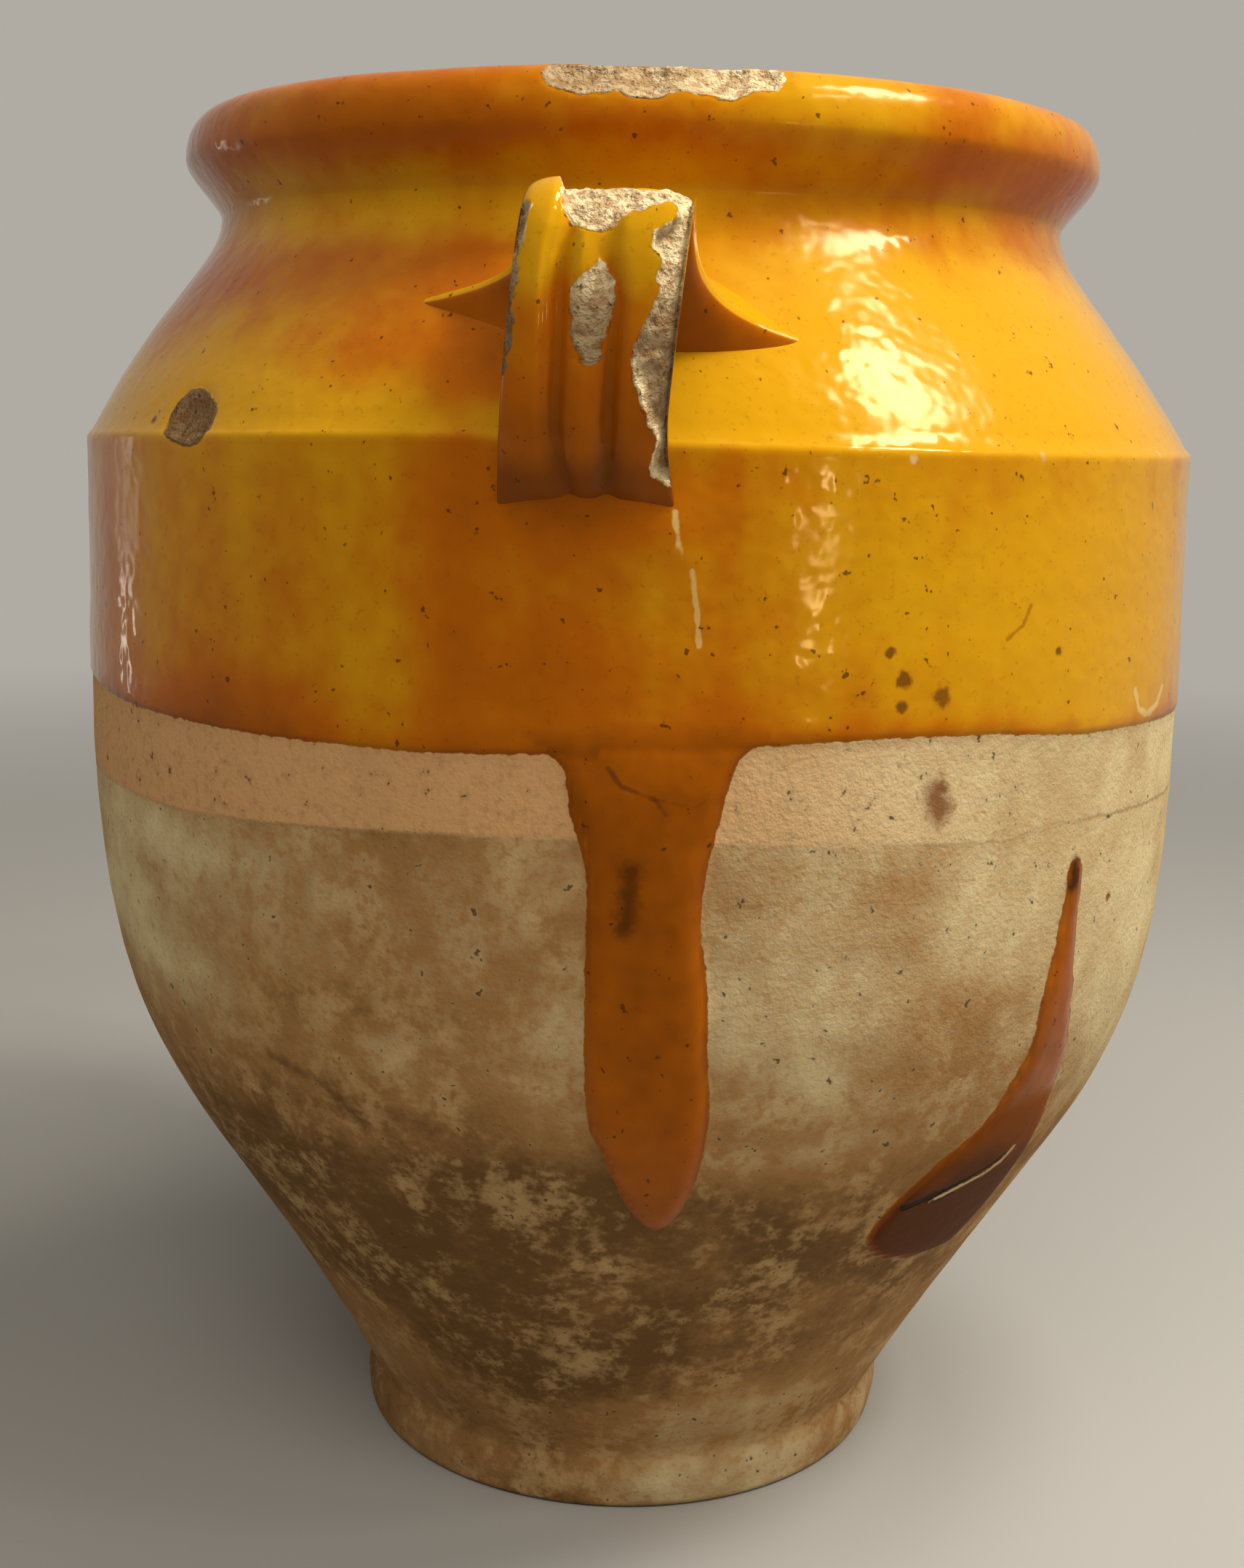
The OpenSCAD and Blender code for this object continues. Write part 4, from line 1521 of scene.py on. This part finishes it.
    def root(self, angle: Array, wide: float, top: Array | float, under: float, height: Array | float,
             point: float) -> Array:
        """Outline of a root in the middle of the wall, flatter below and arched above.

        Args:
            angle: The angle of each of its points round the strap.
            wide: Its width.
            top: How far it reaches up from its ends.
            under: How far it reaches down from them.
            height: The height of its ends.
            point: How pointed the arch makes them.

        Returns:
            The outline's points.
        """
        x, up = wide / 2 * np.cos(angle), np.sin(angle)
        z = height + np.where(up > 0, top * np.abs(up) ** point, under * signed_power(up, self.root_point))
        r = self.profile.middle_r(z)
        return np.stack([x, -np.sqrt(r**2 - x**2), z], -1)

    def ribs(self, x: Array, s: Array) -> Array:
        """Depth of the two finger grooves and of the faint line beside the first.

        Args:
            x: The points' places across the strap.
            s: Their places along it.

        Returns:
            The depth in millimetres.
        """
        first = np.interp(s, *np.transpose(self.first_groove))
        second = np.interp(s, *np.transpose(self.second_groove))
        depth = self.groove_depth * (hump(x - first, self.groove_w) + hump(x - second, self.groove_w))
        return depth + self.faint_depth * hump(x - first + self.faint_line, self.faint_w)

    def bare(self, x: Array, s: Array, front: Array) -> Array:
        """How far each point lies inside a patch where the glaze has gone.

        Args:
            x: The points' places across the strap.
            s: Their places along it.
            front: 1 on the outer face, 0 on the edges and -1 underneath.

        Returns:
            The distance in millimetres, negative outside the patches.
        """
        if self.condition is Condition.WHOLE:
            return np.full(x.shape, -FAR)
        spots = np.stack([x.ravel(), s.ravel()], 1)
        found = np.full(len(spots), -FAR)
        for corners in (self.bare_edge, self.bare_middle, self.bare_side):
            found = np.maximum(found, distance_inside(spots, rounded(corners, 4)))
        ragged = 0.35 * self.grit.rough(np.c_[spots, np.zeros(len(spots))], 1.6)
        return np.where((front > 0.12) & (s > 30), (found + ragged).reshape(x.shape), -FAR)

    def lost(self, x: Array, s: Array, bare: Array, rib: Array) -> Array:
        """Depth of the grooves, and of the clay lost under the bare patches, rough as it broke.

        Args:
            x: The points' places across the strap.
            s: Their places along it.
            bare: How far they lie inside a bare patch.
            rib: The depth of the grooves.

        Returns:
            The depth in millimetres.
        """
        if self.condition is Condition.WHOLE:
            return rib
        spots = np.stack([x.ravel(), s.ravel(), np.zeros(x.size)], 1)
        rough = self.grit.rough(spots, 2.2).reshape(x.shape)
        worn = self.worn_side + (self.worn_top - self.worn_side) * fade(s, 56, 47)
        worn = worn + self.worn_edge * fade(x, 7, 14) * fade(s, 46, 54) + 0.4 * rough
        return rib + smooth(bare / 0.9) * np.maximum(worn - rib, 0.3)

    def paint(self, piece: bpy.types.Object, bare: Array, s: Array, x: Array, front: Array) -> None:
        """Stores the strap's glaze, its tone with painted shade and a painted highlight, its dirt with painted
        shade, and its bare patches.

        Args:
            piece: The strap.
            bare: How far its points lie inside a bare patch.
            s: Their places along the strap.
            x: Their places across it.
            front: 1 on the outer face, 0 on the edges and -1 underneath.
        """
        rib = self.ribs(x, s) / self.groove_depth
        # Both straps darken towards the lower root: partly the glaze's tone, partly painted shade where the strap
        # turns down, away from the lamps.
        if self.condition is Condition.WHOLE:
            tone = 0.1 - 0.5 * fade(s, 55, 95) - 0.35 * rib
        else:
            tone = 0.6 - 0.85 * fade(s, 50, 64) - 0.5 * fade(s, 64, 84) - 0.55 * fade(s, 84, 90) - 0.5 * rib
            tone = tone + 0.35 * hump(x + 10, 3) * fade(s, 64, 52)
            # Painted shade on the inner face and the flares' undersides, and a painted highlight along the edges
            # near the upper root.
            tone = tone - 1.5 * fade(front, 0, -0.15) + 0.5 * hump(front, 0.1) * fade(s, 40, 34)
        # Dirt on the left edge; the darker lower bare patches are painted shade with some dirt.
        grime_and_shade = 0.02 + 0.72 * fade(s, 57, 65) + 0.6 * hump(x + 14, 2.0)
        grime_and_shade -= 1.2 * fade(bare, 1.5, 0.7) * fade(s, 69, 72) * fade(x, 6, 8)
        spots = PieceMaker.places(piece)
        measures = {
            "tone": tone.ravel() + 0.22 * self.grit.rough(spots * (1, 1, 0.3), 9.0),
            "gloss": 0.5 + 0.6 * self.grit.rough(spots + 90, 14.0, 2),
            "broken": bare.ravel(),
            "glaze": np.full(x.size, FAR),
            "grime_and_shade": np.clip(grime_and_shade, 0, 1).ravel(),
        }
        for name, values in measures.items():
            PieceMaker.measure(piece, name, values)


@dataclass(frozen=True)
class Lamp:
    """One soft lamp: where it stands, where it looks, its width and height in metres and its power.

    A fill lamp isn't mirrored in the glaze, as if it came from the whole room.
    """

    name: str
    place: tuple[float, float, float]
    look_at: tuple[float, float, float]
    size: tuple[float, float]
    power: float
    mirrored: bool = True
    tint: tuple[float, float, float] = (1.0, 0.97, 0.92)

    def build(self) -> None:
        """Puts the lamp in the scene."""
        light = bpy.data.lights.new(self.name, "AREA")
        light.shape = "RECTANGLE"
        light.size, light.size_y = self.size
        light.energy = self.power
        light.color = self.tint
        made = put_in_scene(self.name, light)
        made.location = self.place
        made.rotation_euler = (Vector(self.look_at) - Vector(self.place)).to_track_quat("-Z", "Y").to_euler()
        made.visible_glossy = self.mirrored


@dataclass
class Studio:
    """Pale floor, soft lamps, a pale world and the camera at the photograph's angle.

    The camera's place is in millimetres and its angles in degrees. The focal length is in pixels of a picture
    of the given height. The floor and the lamps are in metres.
    """

    camera_turn: float = 3.4
    camera_back: float = 460.07
    camera_up: float = 240.57
    camera_yaw: float = 0.28
    camera_pitch: float = 10.905
    camera_roll: float = 1.09
    picture_height: float = 2156.0
    focal: float = 2700.0
    sensor: float = 36.0
    floor_half: float = 3.0
    floor_colour: Colour = srgb(172, 168, 160)
    backdrop: Colour = srgb(176, 172, 164)
    room_light: Colour = (1.0, 0.96, 0.9, 1.0)
    room_strength: float = 0.15
    floor_near: float = 0.4
    floor_far: float = 1.5
    lamps: tuple[Lamp, ...] = (
        Lamp("key", (0.6, -0.14, 0.98), (0.04, -0.08, 0.24), (0.22, 0.26), 8.5),
        Lamp("ceiling", (0.34, -0.02, 1.3), (0.02, -0.06, 0.25), (0.5, 0.34), 5.0, False),
        Lamp("right_strip", (0.66, -0.88, 0.185), (0.06, -0.1, 0.2), (0.036, 0.066), 0.3),
        Lamp("far_strip", (-0.88, 0.4, 0.17), (-0.1, -0.05, 0.18), (0.012, 0.36), 0.1),
        Lamp("rim_panel", (0.62, -0.42, 0.92), (0.06, -0.08, 0.28), (0.1, 0.03), 0.8),
        Lamp("front_fill", (-0.25, -1.3, 1.75), (0.0, 0.0, 0.15), (1.4, 1.0), 17.0, False),
        Lamp("right_fill", (1.3, -0.9, 1.2), (0.0, 0.0, 0.12), (0.9, 0.9), 5.0, False),
    )

    def build(self) -> None:
        """Builds the whole studio."""
        self.camera()
        self.floor()
        self.world()
        for lamp in self.lamps:
            lamp.build()
        bpy.context.scene.view_settings.view_transform = "Standard"

    def camera(self) -> None:
        """The camera, at the height, distance and tilt worked out from the photograph."""
        data = bpy.data.cameras.new("camera")
        data.sensor_width = self.sensor
        data.lens = self.focal / self.picture_height * self.sensor
        data.clip_start = 0.01
        made = put_in_scene("camera", data)
        made.matrix_world = (
            Matrix.Rotation(math.radians(self.camera_turn), 4, "Z")
            @ Matrix.Translation((0.0, -self.camera_back * MM, self.camera_up * MM))
            @ Matrix.Rotation(math.radians(self.camera_yaw), 4, "Z")
            @ Matrix.Rotation(math.radians(90 - self.camera_pitch), 4, "X")
            @ Matrix.Rotation(math.radians(self.camera_roll), 4, "Z")
        )
        bpy.context.scene.camera = made

    def floor(self) -> None:
        """A plain pale floor."""
        half = self.floor_half
        mesh = bpy.data.meshes.new("floor")
        corners = [(-half, -half, 0), (half, -half, 0), (half, half, 0), (-half, half, 0)]
        mesh.from_pydata(corners, [], [(0, 1, 2, 3)])
        made = put_in_scene("floor", mesh)
        mesh.materials.append(self.floor_finish())

    def floor_finish(self) -> bpy.types.Material:
        """Matt near the pot, where its shadow falls, and as pale as the backdrop further away."""
        finish = bpy.data.materials.new("floor")
        board = Board.cleared(finish)
        matt = board.node("ShaderNodeBsdfDiffuse", {"Color": self.floor_colour})
        pale = board.node("ShaderNodeEmission", {"Color": self.backdrop, "Strength": 1.0})
        reach = board.vector("LENGTH", board.node("ShaderNodeTexCoord").outputs["Object"], out=1)
        share = board.times(board.ramp(reach, self.floor_near, self.floor_far), self.seen(board))
        mixed = board.node("ShaderNodeMixShader", {0: share, 1: matt.outputs[0], 2: pale.outputs[0]})
        board.end("ShaderNodeOutputMaterial", mixed.outputs[0])
        return finish

    @staticmethod
    def seen(board: Board) -> Socket:
        """1 for a ray that shows the backdrop: from the camera, from a mirroring face or through glass."""
        path = board.node("ShaderNodeLightPath").outputs
        either = board.math("MAXIMUM", path["Is Camera Ray"], path["Is Glossy Ray"])
        return board.math("MAXIMUM", either, path["Is Transmission Ray"])

    def world(self) -> None:
        """A pale world that the camera and reflections see brighter than the pot does."""
        world = bpy.data.worlds.new("world")
        bpy.context.scene.world = world
        board = Board.cleared(world)
        dim = board.node("ShaderNodeBackground", {"Color": self.room_light, "Strength": self.room_strength})
        pale = board.node("ShaderNodeBackground", {"Color": self.backdrop, "Strength": 1.0})
        mixed = board.node("ShaderNodeMixShader", {0: self.seen(board), 1: dim.outputs[0], 2: pale.outputs[0]})
        board.end("ShaderNodeOutputWorld", mixed.outputs[0])


def hand_over(piece: bpy.types.Object) -> None:
    """Lets a piece stand for the solid and ride on its body.

    Args:
        piece: The finished piece.
    """
    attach(piece, BODY)
    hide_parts(NODE)
    piece.data.calc_loop_triangles()
    LOG.info("%s: %d triangles", piece.name, len(piece.data.loop_triangles))


def main() -> None:
    """Builds the pot's pieces in order, then the studio."""
    logging.basicConfig(level=logging.INFO, format="%(name)s: %(message)s")
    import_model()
    sizes = PotSizes()
    profile = Profile(sizes)
    finish = PotFinish()
    places = WallPlaces(profile)
    Studio().build()
    hand_over(TurnedWall(sizes, profile, finish).build(places))
    hand_over(Strap(sizes, profile, finish, Condition.WORN).build(places))
    hand_over(Strap(sizes, profile, finish, Condition.WHOLE).build(places))


if __name__ == "__main__":
    main()
